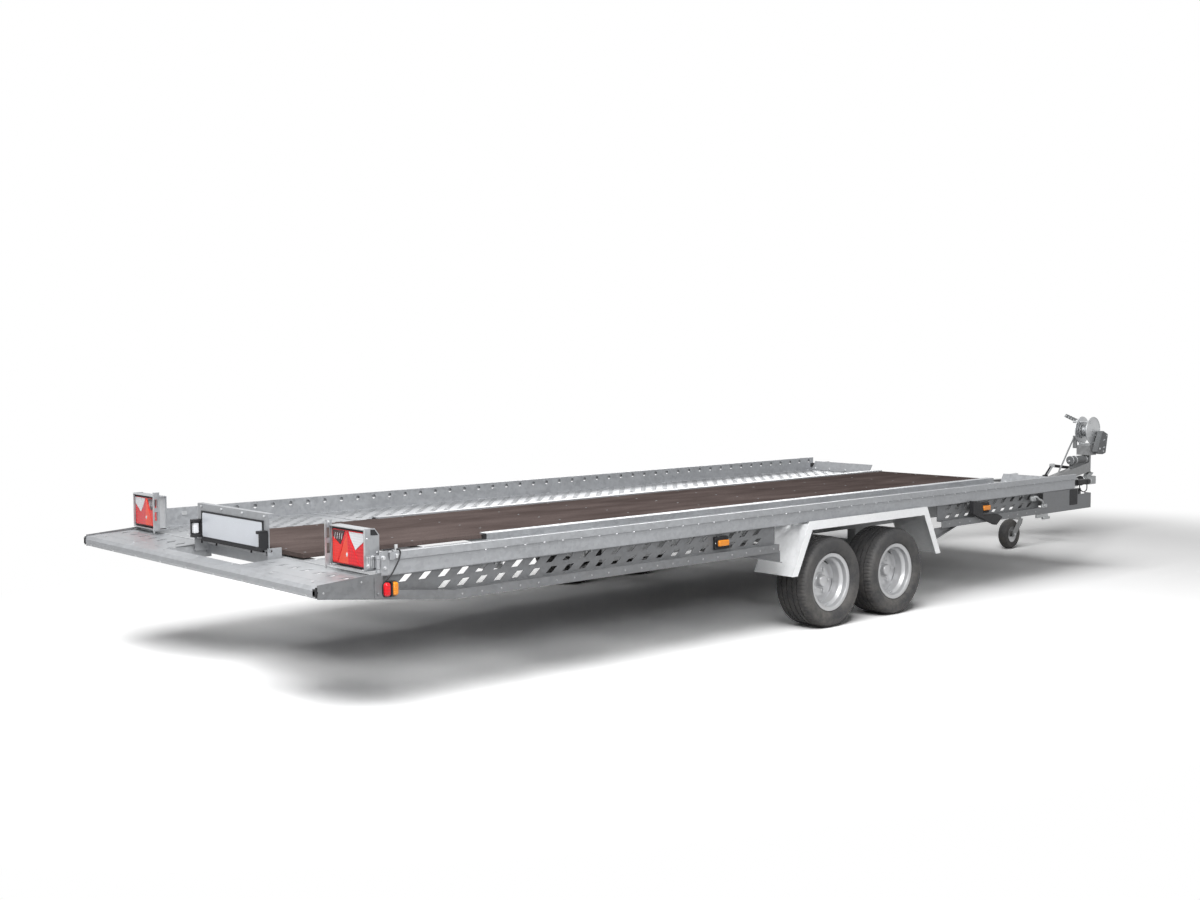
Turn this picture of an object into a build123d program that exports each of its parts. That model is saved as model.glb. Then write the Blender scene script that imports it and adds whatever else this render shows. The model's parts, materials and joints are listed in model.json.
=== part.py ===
"""Tandem-axle car transporter trailer: low galvanised bed between side rails with lashing holes,
perforated runways, a raised plywood centre deck, a V drawbar with an overrun coupling and a winch."""

import math
import os

from build123d import *

# All lengths in mm. Stations along the trailer are counted from the rearmost lashing hole, +X
# forward, until place() moves everything to the middle of the overall length. +Z up, ground at 0.

# Overall
REAR_END = -770.0
NOSE_END = 6500.0
MIDDLE = (REAR_END + NOSE_END) / 2

# Sheet and side rails
SHEET = 3.0
FLOOR_TOP = 535.0
RAIL_INNER = 1001.0
RAIL_TOP = 620.0
RAIL_REAR, RAIL_FRONT = -455.0, 4450.0
RAIL_LIP_OUT = 1014.0
RAIL_LIP_BOTTOM = 591.0
HOLE_PITCH = 100.0
HOLE_COUNT = 45
HOLE_RADIUS = 11.0
HOLE_HEIGHT = 597.0

# Side webs below the floor, recessed behind the rails
WEB_FACE = 978.0
WEB_BOTTOM = 443.0
SKIRT_OUT = 1008.0
SKIRT_BOTTOM = 410.0
WEB_REAR, WEB_STRAIGHT_FROM = -490.0, -160.0
WEB_GAP_REAR, WEB_GAP_FRONT = 1745.0, 3070.0
WEB_FRONT = 4089.0
WINDOW_PITCH = 90.0
WINDOW_LENGTH = 34.0
WINDOW_HEIGHT = 26.0
WINDOW_SLANT = 30.0
WINDOW_ROWS = (468.0, 512.0)
FRONT_PLATE_END = 4633.0
FRONT_PLATE_TOP = 497.0

# Runways and plywood deck
RUNWAY_INNER = 450.0
RUNWAY_OUTER = 1000.0
RUNWAY_REAR, RUNWAY_FRONT = -500.0, 4440.0
SLOPE_INNER, SLOPE_WALL_LOW = 330.0, 472.0
PLY_TOP, PLY_THICK = 556.0, 18.0
PLY_HALF = 420.0
PLY_REAR, PLY_JOINT, PLY_FRONT = -470.0, 2480.0, 4440.0
EDGE_REAR = 430.0
EDGE_TOP = 563.0
STOP_HEIGHT, STOP_LEAN = 57.0, 36.0

# Under-frame
CROSS_STATIONS = (-440.0, 80.0, 560.0, 1040.0, 1490.0, 2000.0, 2470.0, 2960.0, 3430.0, 3900.0, 4370.0)
CROSS_WIDTH, CROSS_HEIGHT = 50.0, 38.0
BEAM_INNER, BEAM_OUTER = 630.0, 690.0
BEAM_REAR, BEAM_FRONT = 900.0, 4450.0
BEAM_BOTTOM = 412.0
FRONT_BEAM_LENGTH = 70.0

# Rear end
LIP_LENGTH = 74.0
LIP_TOP, LIP_BOTTOM = 527.0, 479.0

# Wheels and axles
AXLE_STATIONS = {"rear": 2130.0, "front": 2651.0}
TYRE_RADIUS, TYRE_WIDTH = 224.5, 195.0
TYRE_OUTER = 1030.0
RIM_SEAT = 126.8
RIM_FLANGE = 142.6
RIM_HALF = 82.0
DRUM_INNER = -76.0
STUB_RADIUS = 20.0
AXLE_TUBE = 70.0
AXLE_LEAD = 150.0
AXLE_HEIGHT = 300.0
AXLE_HALF = 700.0

# Mudguards
GUARD_OUT, GUARD_IN = 1035.0, 790.0
GUARD_TOP = 541.0
GUARD_SHEET_TOP = 527.0
GUARD_BAND = 42.0
GUARD_TOP_REAR, GUARD_TOP_FRONT = 1937.0, 2894.0
GUARD_LOW_REAR, GUARD_LOW_FRONT = 1813.0, 3017.0
GUARD_LOW = 285.0

# Drawbar, overrun device and coupling
DRAW_TOP, DRAW_HEIGHT = 445.0, 80.0
DRAW_FLANGE, DRAW_SHEET = 50.0, 5.0
DRAW_START, DRAW_END = BEAM_FRONT + FRONT_BEAM_LENGTH, 6000.0
DRAW_WIDE, DRAW_NARROW = 640.0, 98.0
DRAW_FLANGE_PLATE = 10.0
HOUSING_REAR, HOUSING_FRONT = 5690.0, 6190.0
HOUSING_HALF = 44.0
COUPLING_HEIGHT = 402.0
BALL_STATION, BALL_RADIUS = 6425.0, 25.0

# Winch stand and winch
STAND_REAR, STAND_FRONT = 5852.0, 6388.0
STAND_HALF = 24.0
STAND_RISE = 92.0
WINCH_STATION = 6372.0
WINCH_SHELF = 664.0
WINCH_AXIS = 772.0
WINCH_LEFT, WINCH_RIGHT = 26.0, -62.0
BRACKET_REAR = 6318.0
CHEEK_RADIUS = 100.0
DRUM_RADIUS, DRUM_FLANGE = 32.0, 58.0
PINION_BACK, PINION_RISE = 39.0, 62.0
CRANK_ARM = 62.0

# Jockey wheel
JOCKEY_STATION = 5279.0
JOCKEY_TRAIL = 91.0
JOCKEY_SIDE = -50.0
JOCKEY_RADIUS, JOCKEY_WIDTH = 102.0, 58.0
JOCKEY_TUBE = 30.0
JOCKEY_TUBE_BOTTOM, JOCKEY_TUBE_TOP = 286.0, 488.0

# Lamps and licence plate
LAMP_STATION = -501.0
LAMP_INNER, LAMP_OUTER = 748.0, 972.0
LAMP_LOW, LAMP_HIGH = 565.0, 695.0
HINGE_OFFSET = 1004.0
HINGE_HEIGHT = 579.0
PLATE_STATION = -568.0
PLATE_WIDTH, PLATE_HEIGHT = 520.0, 110.0
PLATE_LOW = 569.0
CARRIER_HALF = 305.0
SIDE_MARKERS = (1365.0, 3509.0)
LEAD_RADIUS = 3.0


def block(x0, x1, y0, y1, z0, z1):
    """A box between two corners."""
    return Pos((x0 + x1) / 2, (y0 + y1) / 2, (z0 + z1) / 2) * Box(x1 - x0, y1 - y0, z1 - z0)


def prism(points, direction):
    """The flat polygon through 3-D points, pushed along a direction vector."""
    face = make_face(Polyline(*points, close=True))
    length = Vector(*direction).length
    return extrude(face, amount=length, dir=direction)


def side_prism(points, y0, y1):
    """An outline in X and Z, as thick as y0 to y1."""
    return prism([(x, y0, z) for x, z in points], (0, y1 - y0, 0))


def plan_prism(points, z0, z1):
    """An outline in X and Y, as thick as z0 to z1."""
    return prism([(x, y, z0) for x, y in points], (0, 0, z1 - z0))


def section_prism(points, x0, x1):
    """An outline in Y and Z, as long as x0 to x1."""
    return prism([(x0, y, z) for y, z in points], (x1 - x0, 0, 0))


def rod(start, end, radius):
    """A round bar between two points."""
    axis = Vector(*end) - Vector(*start)
    return extrude(Plane(origin=start, z_dir=axis) * Circle(radius), amount=axis.length)


def turned(profile, centre):
    """A profile of (radius, offset) points turned about the Y axis through centre."""
    face = make_face(Polyline(*[(radius, offset, 0) for radius, offset in profile], close=True))
    return Pos(*centre) * revolve(face, Axis.Y)


def other_side(shape):
    """The same piece on the right side of the trailer."""
    return mirror(shape, about=Plane.XZ)


def joined(shapes):
    """Several separate pieces as one node."""
    return Compound(list(shapes))


# Side rails and webs, made for the left side


def side_rail():
    """Upright rail folded out and down over its row of lashing holes."""
    outline = [
        (RAIL_INNER, FLOOR_TOP),
        (RAIL_INNER + SHEET, FLOOR_TOP),
        (RAIL_INNER + SHEET, RAIL_TOP - SHEET),
        (RAIL_LIP_OUT - SHEET, RAIL_TOP - SHEET),
        (RAIL_LIP_OUT - SHEET, RAIL_LIP_BOTTOM),
        (RAIL_LIP_OUT, RAIL_LIP_BOTTOM),
        (RAIL_LIP_OUT, RAIL_TOP),
        (RAIL_INNER, RAIL_TOP),
    ]
    rail = section_prism(outline, RAIL_REAR, RAIL_FRONT)
    drill = Rot(90, 0, 0) * Cylinder(HOLE_RADIUS, 3 * SHEET)
    holes = [
        Pos(HOLE_PITCH * step, RAIL_INNER + SHEET / 2, HOLE_HEIGHT) * drill
        for step in range(HOLE_COUNT)
    ]
    return rail - holes


def skirt_bottom(station):
    """Height of the lower edge of the side, which rises towards the rear end."""
    run = (WEB_STRAIGHT_FROM - station) / (WEB_STRAIGHT_FROM - REAR_END)
    return SKIRT_BOTTOM + max(0.0, run) * (LIP_BOTTOM - SKIRT_BOTTOM)


def window(station, height):
    """One slanted window through the web."""
    half, rise = WINDOW_LENGTH / 2, WINDOW_HEIGHT / 2
    lean = WINDOW_SLANT / 2
    corners = [
        (station - half - lean, height - rise),
        (station + half - lean, height - rise),
        (station + half + lean, height + rise),
        (station - half + lean, height + rise),
    ]
    return side_prism(corners, WEB_FACE - 2 * SHEET, WEB_FACE + SHEET)


def web_panel(rear, front):
    """One stretch of web with its skirt: a plate, a ledge outward and a strip down."""
    rise = WEB_BOTTOM - SKIRT_BOTTOM
    stations = [rear, front]
    if rear < WEB_STRAIGHT_FROM < front:
        stations = [rear, WEB_STRAIGHT_FROM, front]
    low = [(x, skirt_bottom(x)) for x in stations]
    top = [(x, FLOOR_TOP - SHEET) for x in reversed(stations)]
    plate = side_prism([(x, z + rise) for x, z in low] + top, WEB_FACE - SHEET, WEB_FACE)
    ledge_top = [(x, z + rise + SHEET) for x, z in reversed(low)]
    ledge = side_prism([(x, z + rise) for x, z in low] + ledge_top, WEB_FACE - SHEET, SKIRT_OUT)
    strip_top = [(x, z + rise + SHEET) for x, z in reversed(low)]
    strip = side_prism(low + strip_top, SKIRT_OUT - SHEET, SKIRT_OUT)
    panel = plate + ledge + strip
    count = int((front - rear - WINDOW_PITCH) / WINDOW_PITCH)
    first = (front + rear) / 2 - WINDOW_PITCH * (count - 1) / 2
    windows = [
        window(first + WINDOW_PITCH * step, height)
        for step in range(count)
        for height in WINDOW_ROWS
        if skirt_bottom(first + WINDOW_PITCH * step) + rise + SHEET + WINDOW_HEIGHT / 2 + 4 < height
    ]
    return panel - windows


def front_plate():
    """Plain side plate that closes the web ahead of the last window."""
    outline = [
        (WEB_FRONT, SKIRT_BOTTOM - 3),
        (FRONT_PLATE_END, SKIRT_BOTTOM - 3),
        (FRONT_PLATE_END, FRONT_PLATE_TOP),
        (RAIL_FRONT + 30, FRONT_PLATE_TOP),
        (RAIL_FRONT + 30, FLOOR_TOP - SHEET),
        (WEB_FRONT, FLOOR_TOP - SHEET),
    ]
    return side_prism(outline, SKIRT_OUT - SHEET, SKIRT_OUT)


def front_return():
    """Inward fold at the front edge of the side plate."""
    return block(
        FRONT_PLATE_END - SHEET, FRONT_PLATE_END, SKIRT_OUT - 42, SKIRT_OUT - SHEET,
        SKIRT_BOTTOM - 3, FRONT_PLATE_TOP,
    )


# Floor


def runway():
    """Floor plank strip of one wheel track, folded down along both edges."""
    top = block(
        RUNWAY_REAR, RUNWAY_FRONT, RUNWAY_INNER, RUNWAY_OUTER, FLOOR_TOP - SHEET, FLOOR_TOP
    )
    fold = block(
        RUNWAY_REAR, RUNWAY_FRONT, RUNWAY_INNER, RUNWAY_INNER + SHEET,
        FLOOR_TOP - 30, FLOOR_TOP - SHEET,
    )
    cuts = [
        block(x - CROSS_WIDTH / 2 - 1, x + CROSS_WIDTH / 2 + 1, RUNWAY_INNER - 1,
              RUNWAY_INNER + SHEET + 1, FLOOR_TOP - 31, FLOOR_TOP - SHEET)
        for x in CROSS_STATIONS
    ]
    return top + (fold - cuts)


def rear_slope():
    """Sloping end of one runway down to the rear lip, with its inner wall."""
    front = REAR_END + LIP_LENGTH
    outline = [
        (front, LIP_TOP - SHEET), (RUNWAY_REAR, FLOOR_TOP - SHEET), (RUNWAY_REAR, FLOOR_TOP),
        (front, LIP_TOP),
    ]
    wall = [
        (front, SLOPE_WALL_LOW), (RUNWAY_REAR + 17, SLOPE_WALL_LOW), (RUNWAY_REAR + 17, FLOOR_TOP - SHEET),
        (RUNWAY_REAR, FLOOR_TOP - SHEET), (front, LIP_TOP - SHEET),
    ]
    slope = side_prism(outline, SLOPE_INNER, RUNWAY_OUTER)
    return slope + side_prism(wall, SLOPE_INNER, SLOPE_INNER + SHEET)


def deck_panels():
    """Two plywood panels, butted over a cross member."""
    low = PLY_TOP - PLY_THICK
    rear = block(PLY_REAR, PLY_JOINT - 3, -PLY_HALF, PLY_HALF, low, PLY_TOP)
    front = block(PLY_JOINT + 3, PLY_FRONT, -PLY_HALF, PLY_HALF, low, PLY_TOP)
    return joined([rear, front])


def edge_profile():
    """Z-shaped edging that holds the plywood above the runway."""
    outline = [
        (PLY_HALF + 1, FLOOR_TOP),
        (RUNWAY_INNER + 4, FLOOR_TOP),
        (RUNWAY_INNER + 4, EDGE_TOP),
        (PLY_HALF - 18, EDGE_TOP),
        (PLY_HALF - 18, PLY_TOP),
        (PLY_HALF + 1, PLY_TOP),
    ]
    solid = section_prism(outline, EDGE_REAR, PLY_FRONT)
    hollow = block(
        EDGE_REAR - 1, PLY_FRONT + 1, PLY_HALF + 4, RUNWAY_INNER + 1, FLOOR_TOP + 3, EDGE_TOP - 3
    )
    return solid - hollow


def floor_ribs():
    """Top-hat ribs under the floor from web to web, shorter where the mudguards are."""
    top = FLOOR_TOP - SHEET
    ribs = []
    for x in CROSS_STATIONS:
        half = CROSS_WIDTH / 2
        over_wheels = WEB_GAP_REAR < x < WEB_GAP_FRONT
        reach = GUARD_IN if over_wheels else WEB_FACE - SHEET
        rib = block(x - half, x + half, -reach, reach, top - CROSS_HEIGHT, top)
        hollow = block(
            x - half + SHEET, x + half - SHEET, -WEB_FACE, WEB_FACE,
            top - CROSS_HEIGHT - 1, top - SHEET,
        )
        ribs.append(rib - hollow)
    return joined(ribs)


def ply_rails():
    """Two flat rails on the ribs, which the plywood lies on."""
    low, high = FLOOR_TOP - SHEET, PLY_TOP - PLY_THICK
    return joined(
        block(PLY_REAR + 20, PLY_FRONT, y - 30, y + 30, low, high) for y in (-250.0, 250.0)
    )


def chassis_beam():
    """Longitudinal channel under the cross members, open inward."""
    top = FLOOR_TOP - SHEET - CROSS_HEIGHT
    solid = block(BEAM_REAR, BEAM_FRONT, BEAM_INNER, BEAM_OUTER, BEAM_BOTTOM, top)
    hollow = block(
        BEAM_REAR - 1, BEAM_FRONT + 1, BEAM_INNER - 1, BEAM_OUTER - 4, BEAM_BOTTOM + 4, top - 4
    )
    return solid - hollow


def front_beam():
    """Deep box member across the front end, which takes the drawbar."""
    outer = block(
        BEAM_FRONT, BEAM_FRONT + FRONT_BEAM_LENGTH, -SKIRT_OUT + SHEET, SKIRT_OUT - SHEET,
        BEAM_BOTTOM, FLOOR_TOP - SHEET,
    )
    inner = block(
        BEAM_FRONT + 4, BEAM_FRONT + FRONT_BEAM_LENGTH - 4, -SKIRT_OUT, SKIRT_OUT,
        BEAM_BOTTOM + 4, FLOOR_TOP - SHEET - 4,
    )
    return outer - inner


def stop_plate():
    """Leaning wheel stop at the front end of a runway."""
    front = RUNWAY_FRONT
    outline = [
        (front - 45, FLOOR_TOP),
        (front - 4, FLOOR_TOP),
        (front - 4 + STOP_LEAN, FLOOR_TOP + STOP_HEIGHT),
        (front - 8 + STOP_LEAN, FLOOR_TOP + STOP_HEIGHT),
        (front - 8, FLOOR_TOP + 4),
        (front - 45, FLOOR_TOP + 4),
    ]
    return side_prism(outline, 505.0, 998.0)


# Rear end


def rear_lip():
    """Folded hollow lip across the rear end, with a blunt nose."""
    front = REAR_END + LIP_LENGTH
    outer = [
        (front, LIP_BOTTOM - 4),
        (front, LIP_TOP),
        (REAR_END + 14, LIP_TOP - 4),
        (REAR_END, LIP_TOP - 17),
        (REAR_END, LIP_BOTTOM + 14),
        (REAR_END + 12, LIP_BOTTOM),
    ]
    inner = [
        (front - SHEET, LIP_BOTTOM - 1),
        (front - SHEET, LIP_TOP - 3),
        (REAR_END + 15, LIP_TOP - 7),
        (REAR_END + 3, LIP_TOP - 18),
        (REAR_END + 3, LIP_BOTTOM + 15),
        (REAR_END + 13, LIP_BOTTOM + 3),
    ]
    half = SKIRT_OUT - SHEET
    return side_prism(outer, -half, half) - side_prism(inner, -half - 1, half + 1)


def rear_side_plate():
    """Plain plate that closes the side at the rear end."""
    outline = [
        (REAR_END + 10, skirt_bottom(REAR_END + 10)),
        (WEB_REAR, skirt_bottom(WEB_REAR)),
        (WEB_REAR, FLOOR_TOP + 12),
        (REAR_END + 10, LIP_TOP + 2),
    ]
    return side_prism(outline, SKIRT_OUT - SHEET, SKIRT_OUT)


# Wheels and axles


def wheel_centre(axle, side):
    """Centre of one wheel."""
    return (AXLE_STATIONS[axle], side * (TYRE_OUTER - TYRE_WIDTH / 2), TYRE_RADIUS)


def tyre():
    """Tyre section with round shoulders, turned about Y."""
    half = TYRE_WIDTH / 2
    side = [
        (RIM_FLANGE + 2, RIM_HALF - 5),
        (RIM_FLANGE + 8, RIM_HALF + 5),
        (RIM_FLANGE + 26, half - 2),
        (RIM_FLANGE + 44, half),
        (TYRE_RADIUS - 20, half - 3),
        (TYRE_RADIUS - 8, half - 13),
        (TYRE_RADIUS - 2, half - 26),
        (TYRE_RADIUS, half - 40),
    ]
    wall = Spline(*[(radius, offset, 0) for radius, offset in side])
    other = Spline(*[(radius, -offset, 0) for radius, offset in side])
    bead = RIM_HALF - 5
    edges = [
        wall,
        other,
        Line((TYRE_RADIUS, half - 40, 0), (TYRE_RADIUS, 40 - half, 0)),
        Polyline((RIM_FLANGE + 2, bead, 0), (RIM_SEAT, bead, 0), (RIM_SEAT, -bead, 0),
                 (RIM_FLANGE + 2, -bead, 0)),
    ]
    return revolve(make_face(edges), Axis.Y)


def rim(side):
    """Pressed steel rim with a deep outer dish, disc, hub cap and brake drum behind the disc."""
    profile = [
        (RIM_FLANGE, RIM_HALF), (RIM_FLANGE, RIM_HALF - 4), (RIM_SEAT, RIM_HALF - 5),
        (RIM_SEAT, 58), (113, 46), (113, -44), (RIM_SEAT, -58), (RIM_SEAT, -RIM_HALF + 5),
        (RIM_FLANGE, -RIM_HALF + 4), (RIM_FLANGE, -RIM_HALF), (RIM_SEAT - 4, -RIM_HALF),
        (RIM_SEAT - 4, -56), (109, -42), (109, -12), (104, -10), (96, -2), (60, -2), (60, -14),
        (100, -16), (102, DRUM_INNER), (STUB_RADIUS + 0.5, DRUM_INNER), (STUB_RADIUS + 0.5, 20),
        (0, 20), (0, 36), (27, 36), (31, 30), (31, 7), (40, 5), (96, 5), (104, 2), (109, 0),
        (109, 43), (RIM_SEAT - 4, 56), (RIM_SEAT - 4, RIM_HALF),
    ]
    return turned([(radius, side * offset) for radius, offset in profile], (0, 0, 0))


def axle(name):
    """Rubber-sprung axle: square tube, brackets, trailing arms, stubs and brake back plates."""
    x, z = AXLE_STATIONS[name] + AXLE_LEAD, AXLE_HEIGHT
    half = AXLE_TUBE / 2
    tube = block(x - half, x + half, -AXLE_HALF, AXLE_HALF, z - half, z + half)
    pieces = [tube]
    for side in (-1, 1):
        inner, outer = sorted((side * (BEAM_INNER + 4), side * (BEAM_OUTER - 4)))
        pieces.append(block(x - 60, x + 60, inner, outer, z + half, BEAM_BOTTOM))
        pivot = (x, side * AXLE_HALF, z)
        arm_end = (x, side * (AXLE_HALF + 50), z)
        pieces.append(rod(pivot, arm_end, half - 2))
        arm = prism(
            [
                (x - AXLE_LEAD - 24, side * (AXLE_HALF + 20), TYRE_RADIUS - 26),
                (x + 30, side * (AXLE_HALF + 20), z - 24),
                (x + 30, side * (AXLE_HALF + 20), z + 24),
                (x - AXLE_LEAD - 24, side * (AXLE_HALF + 20), TYRE_RADIUS + 26),
            ],
            (0, side * 30, 0),
        )
        pieces.append(arm)
        stub_start = (x - AXLE_LEAD, side * (AXLE_HALF + 40), TYRE_RADIUS)
        wheel = TYRE_OUTER - TYRE_WIDTH / 2
        stub_end = (x - AXLE_LEAD, side * (wheel + 16), TYRE_RADIUS)
        pieces.append(rod(stub_start, stub_end, STUB_RADIUS))
        plate_face = (x - AXLE_LEAD, side * (wheel + DRUM_INNER - 6), TYRE_RADIUS)
        plate_back = (x - AXLE_LEAD, side * (wheel + DRUM_INNER - 10), TYRE_RADIUS)
        pieces.append(rod(stub_start, plate_back, 32))
        pieces.append(rod(plate_back, plate_face, 104))
    return pieces[0].fuse(*pieces[1:])


def mudguard():
    """Tandem mudguard on the left: folded sheet with a wide outer band."""

    def outline(drop):
        return [
            (GUARD_LOW_REAR + drop * 0.45, GUARD_LOW),
            (GUARD_TOP_REAR + drop * 0.25, GUARD_SHEET_TOP - drop),
            (GUARD_TOP_FRONT - drop * 0.25, GUARD_SHEET_TOP - drop),
            (GUARD_LOW_FRONT - drop * 0.45, GUARD_LOW),
        ]

    inner = outline(2 * SHEET)
    sheet = side_prism(outline(0.0) + inner[::-1], GUARD_IN, GUARD_OUT - SHEET)
    band_outer = [
        (GUARD_LOW_REAR - 6, GUARD_LOW),
        (GUARD_TOP_REAR - 4, GUARD_TOP),
        (GUARD_TOP_FRONT + 4, GUARD_TOP),
        (GUARD_LOW_FRONT + 6, GUARD_LOW),
    ]
    band_inner = [
        (GUARD_LOW_FRONT + 6 - GUARD_BAND, GUARD_LOW),
        (GUARD_TOP_FRONT - 20, GUARD_TOP - GUARD_BAND),
        (GUARD_TOP_REAR + 20, GUARD_TOP - GUARD_BAND),
        (GUARD_LOW_REAR - 6 + GUARD_BAND, GUARD_LOW),
    ]
    band = side_prism(band_outer + band_inner, GUARD_OUT - SHEET, GUARD_OUT)
    return sheet + band


# Drawbar and coupling


def drawbar_line(station):
    """Distance of the drawbar's outer edge from the middle plane at a station."""
    run = (station - DRAW_START) / (DRAW_END - DRAW_START)
    return DRAW_WIDE + run * (DRAW_NARROW - DRAW_WIDE)


def drawbar_beam():
    """Folded channel of the V drawbar on the left, open inward, with its end plate."""

    def strip(near, far):
        return [
            (DRAW_START, drawbar_line(DRAW_START) - near),
            (DRAW_END, drawbar_line(DRAW_END) - near),
            (DRAW_END, drawbar_line(DRAW_END) - far),
            (DRAW_START, drawbar_line(DRAW_START) - far),
        ]

    low = DRAW_TOP - DRAW_HEIGHT
    web = plan_prism(strip(0, DRAW_SHEET), low, DRAW_TOP)
    under = plan_prism(strip(0, DRAW_FLANGE), low, low + DRAW_SHEET)
    over = plan_prism(strip(0, DRAW_FLANGE), DRAW_TOP - DRAW_SHEET, DRAW_TOP)
    end_plate = block(
        DRAW_START, DRAW_START + DRAW_FLANGE_PLATE, DRAW_WIDE - 90, DRAW_WIDE + 40,
        low, FLOOR_TOP - SHEET,
    )
    return web + under + over + end_plate


def drawbar_bridge():
    """Cross channel between the drawbar beams that carries the jockey wheel."""
    x = JOCKEY_STATION + JOCKEY_TRAIL + 92
    half = drawbar_line(x + 40) - DRAW_SHEET - 2
    low, high = DRAW_TOP - DRAW_HEIGHT + DRAW_SHEET, DRAW_TOP - DRAW_SHEET
    plate = block(x, x + 6, -half, half, low, high)
    return plate + block(x, x + 38, -half, half, low, low + 6)


def overrun_housing():
    """Housing of the overrun device with the two cross flanges that meet the beams."""
    low, high = COUPLING_HEIGHT - 32, COUPLING_HEIGHT + 34
    body = block(HOUSING_REAR, HOUSING_FRONT, -HOUSING_HALF, HOUSING_HALF, low, high)
    reach = drawbar_line(HOUSING_REAR + 60) - DRAW_SHEET - 1
    rear_flange = block(HOUSING_REAR + 40, HOUSING_REAR + 52, -reach, reach, low, high)
    reach = drawbar_line(DRAW_END) - DRAW_SHEET - 1
    front_flange = block(DRAW_END - 14, DRAW_END - 4, -reach, reach, low, high)
    collar = Pos(HOUSING_FRONT - 20, 0, COUPLING_HEIGHT) * Box(16, 116, 60)
    return body + rear_flange + front_flange + collar


def overrun_bellows():
    """Rubber gaiter with rings over the sliding shaft."""
    count, pitch, start = 8, 16.0, 6190.0
    profile = [(start, 27.0)]
    for ring in range(count):
        x = start + pitch * ring
        profile += [(x + 1, 33.0), (x + pitch * 0.55, 33.0), (x + pitch * 0.7, 29.0)]
    end = start + pitch * count
    profile += [(end, 29.0), (end, 0.0), (start, 0.0)]
    face = make_face(Polyline(*[(x, 0, radius) for x, radius in profile], close=True))
    return Pos(0, 0, COUPLING_HEIGHT) * revolve(face, Axis.X)


def coupling_head():
    """Ball coupling: shaft socket, body with a ball cup open downward, and hand lever."""
    z = COUPLING_HEIGHT
    shaft = rod((6318, 0, z), (6380, 0, z), 27)
    body = block(6350, NOSE_END - 34, -36, 36, z - 30, z + 28)
    nose = Pos(NOSE_END - 36, 0, z - 2) * Cylinder(36, 56)
    cup = Pos(BALL_STATION, 0, z - 16) * Cylinder(BALL_RADIUS + 0.5, 40)
    dome = Pos(BALL_STATION, 0, z + 4) * Sphere(BALL_RADIUS + 0.5)
    lever_outline = [
        (6385, z + 26), (6420, z + 26), (6470, z + 46), (6470, z + 54), (6412, z + 54), (6385, z + 40),
    ]
    lever = side_prism(lever_outline, -16, 16)
    return shaft + body + nose - cup - dome + lever


def handbrake_lever():
    """Hand brake lever of two bars on its sector, with the grip lying forward over the housing."""
    y, low = 47.0, COUPLING_HEIGHT + 34
    sector = side_prism(
        [(5858, low), (5925, low), (5912, low + 34), (5874, low + 34)], y - 14, y - 5
    )
    bar = [
        (5878, low + 8), (5900, low + 8), (6000, low + 86), (6012, low + 86), (6010, low + 100),
        (5990, low + 100),
    ]
    bars = [side_prism(bar, y + side * 5 - 2, y + side * 5 + 2) for side in (-1, 1)]
    grip = rod((5996, y, low + 92), (6235, y, low + 64), 11)
    pin = rod((5892, y - 10, low + 22), (5892, y + 10, low + 22), 6)
    return sector + bars[0] + bars[1] + grip + pin


def brake_cylinder():
    """Round dark housing on the stand behind the post, with a foot and an end bolt."""
    x0, x1, z = 6146.0, 6372.0, 561.0
    shell = rod((x0, -6, z), (x1, -6, z), 29)
    foot = side_prism(
        [(x0 + 30, stand_top(x0 + 30)), (x1 - 30, stand_top(x1 - 30)), (x1 - 30, z), (x0 + 30, z)],
        -20, 14,
    )
    bolt = rod((x0 - 10, -6, z - 6), (x0, -6, z - 6), 9)
    return shell + foot + bolt


# Winch stand


def stand_top(station):
    """Height of the raking top of the winch stand."""
    foot = COUPLING_HEIGHT + 34 + 14
    return foot + (station - STAND_REAR) / (STAND_FRONT - STAND_REAR) * (STAND_RISE - 8)


def winch_post():
    """Raking beam on the housing, upright post, folded bracket for the winch and a raking stay."""
    low = COUPLING_HEIGHT + 34
    beam = side_prism(
        [
            (STAND_REAR, low), (HOUSING_FRONT - 10, low), (STAND_FRONT, low + 28),
            (STAND_FRONT, stand_top(STAND_FRONT)), (STAND_REAR, stand_top(STAND_REAR)),
        ],
        -STAND_HALF, STAND_HALF,
    )
    post_front = STAND_FRONT + 27
    post = block(STAND_FRONT, post_front, -STAND_HALF, STAND_HALF, low + 28, WINCH_SHELF - 6)
    rear, left, right, foot = BRACKET_REAR, WINCH_LEFT + 12, WINCH_RIGHT - 4, WINCH_SHELF - 72
    bracket = block(rear, post_front, right, left, WINCH_SHELF - 6, WINCH_SHELF)
    bracket += block(rear, rear + 5, right, left, foot, WINCH_SHELF - 6)
    bracket += block(rear, post_front, right, right + 5, foot, WINCH_SHELF - 6)
    bracket += block(rear, post_front, left - 5, left, foot, WINCH_SHELF - 6)
    bracket += block(rear, STAND_FRONT, right + 5, left - 5, foot, foot + 5)
    tab = block(rear - 6, rear + 10, left, left + 28, WINCH_SHELF - 24, WINCH_SHELF + 68)
    stay = rod((rear + 2, left + 22, WINCH_SHELF + 61), (6018, 12, stand_top(6018) - 4), 6)
    return beam + post + bracket + tab + stay


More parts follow.
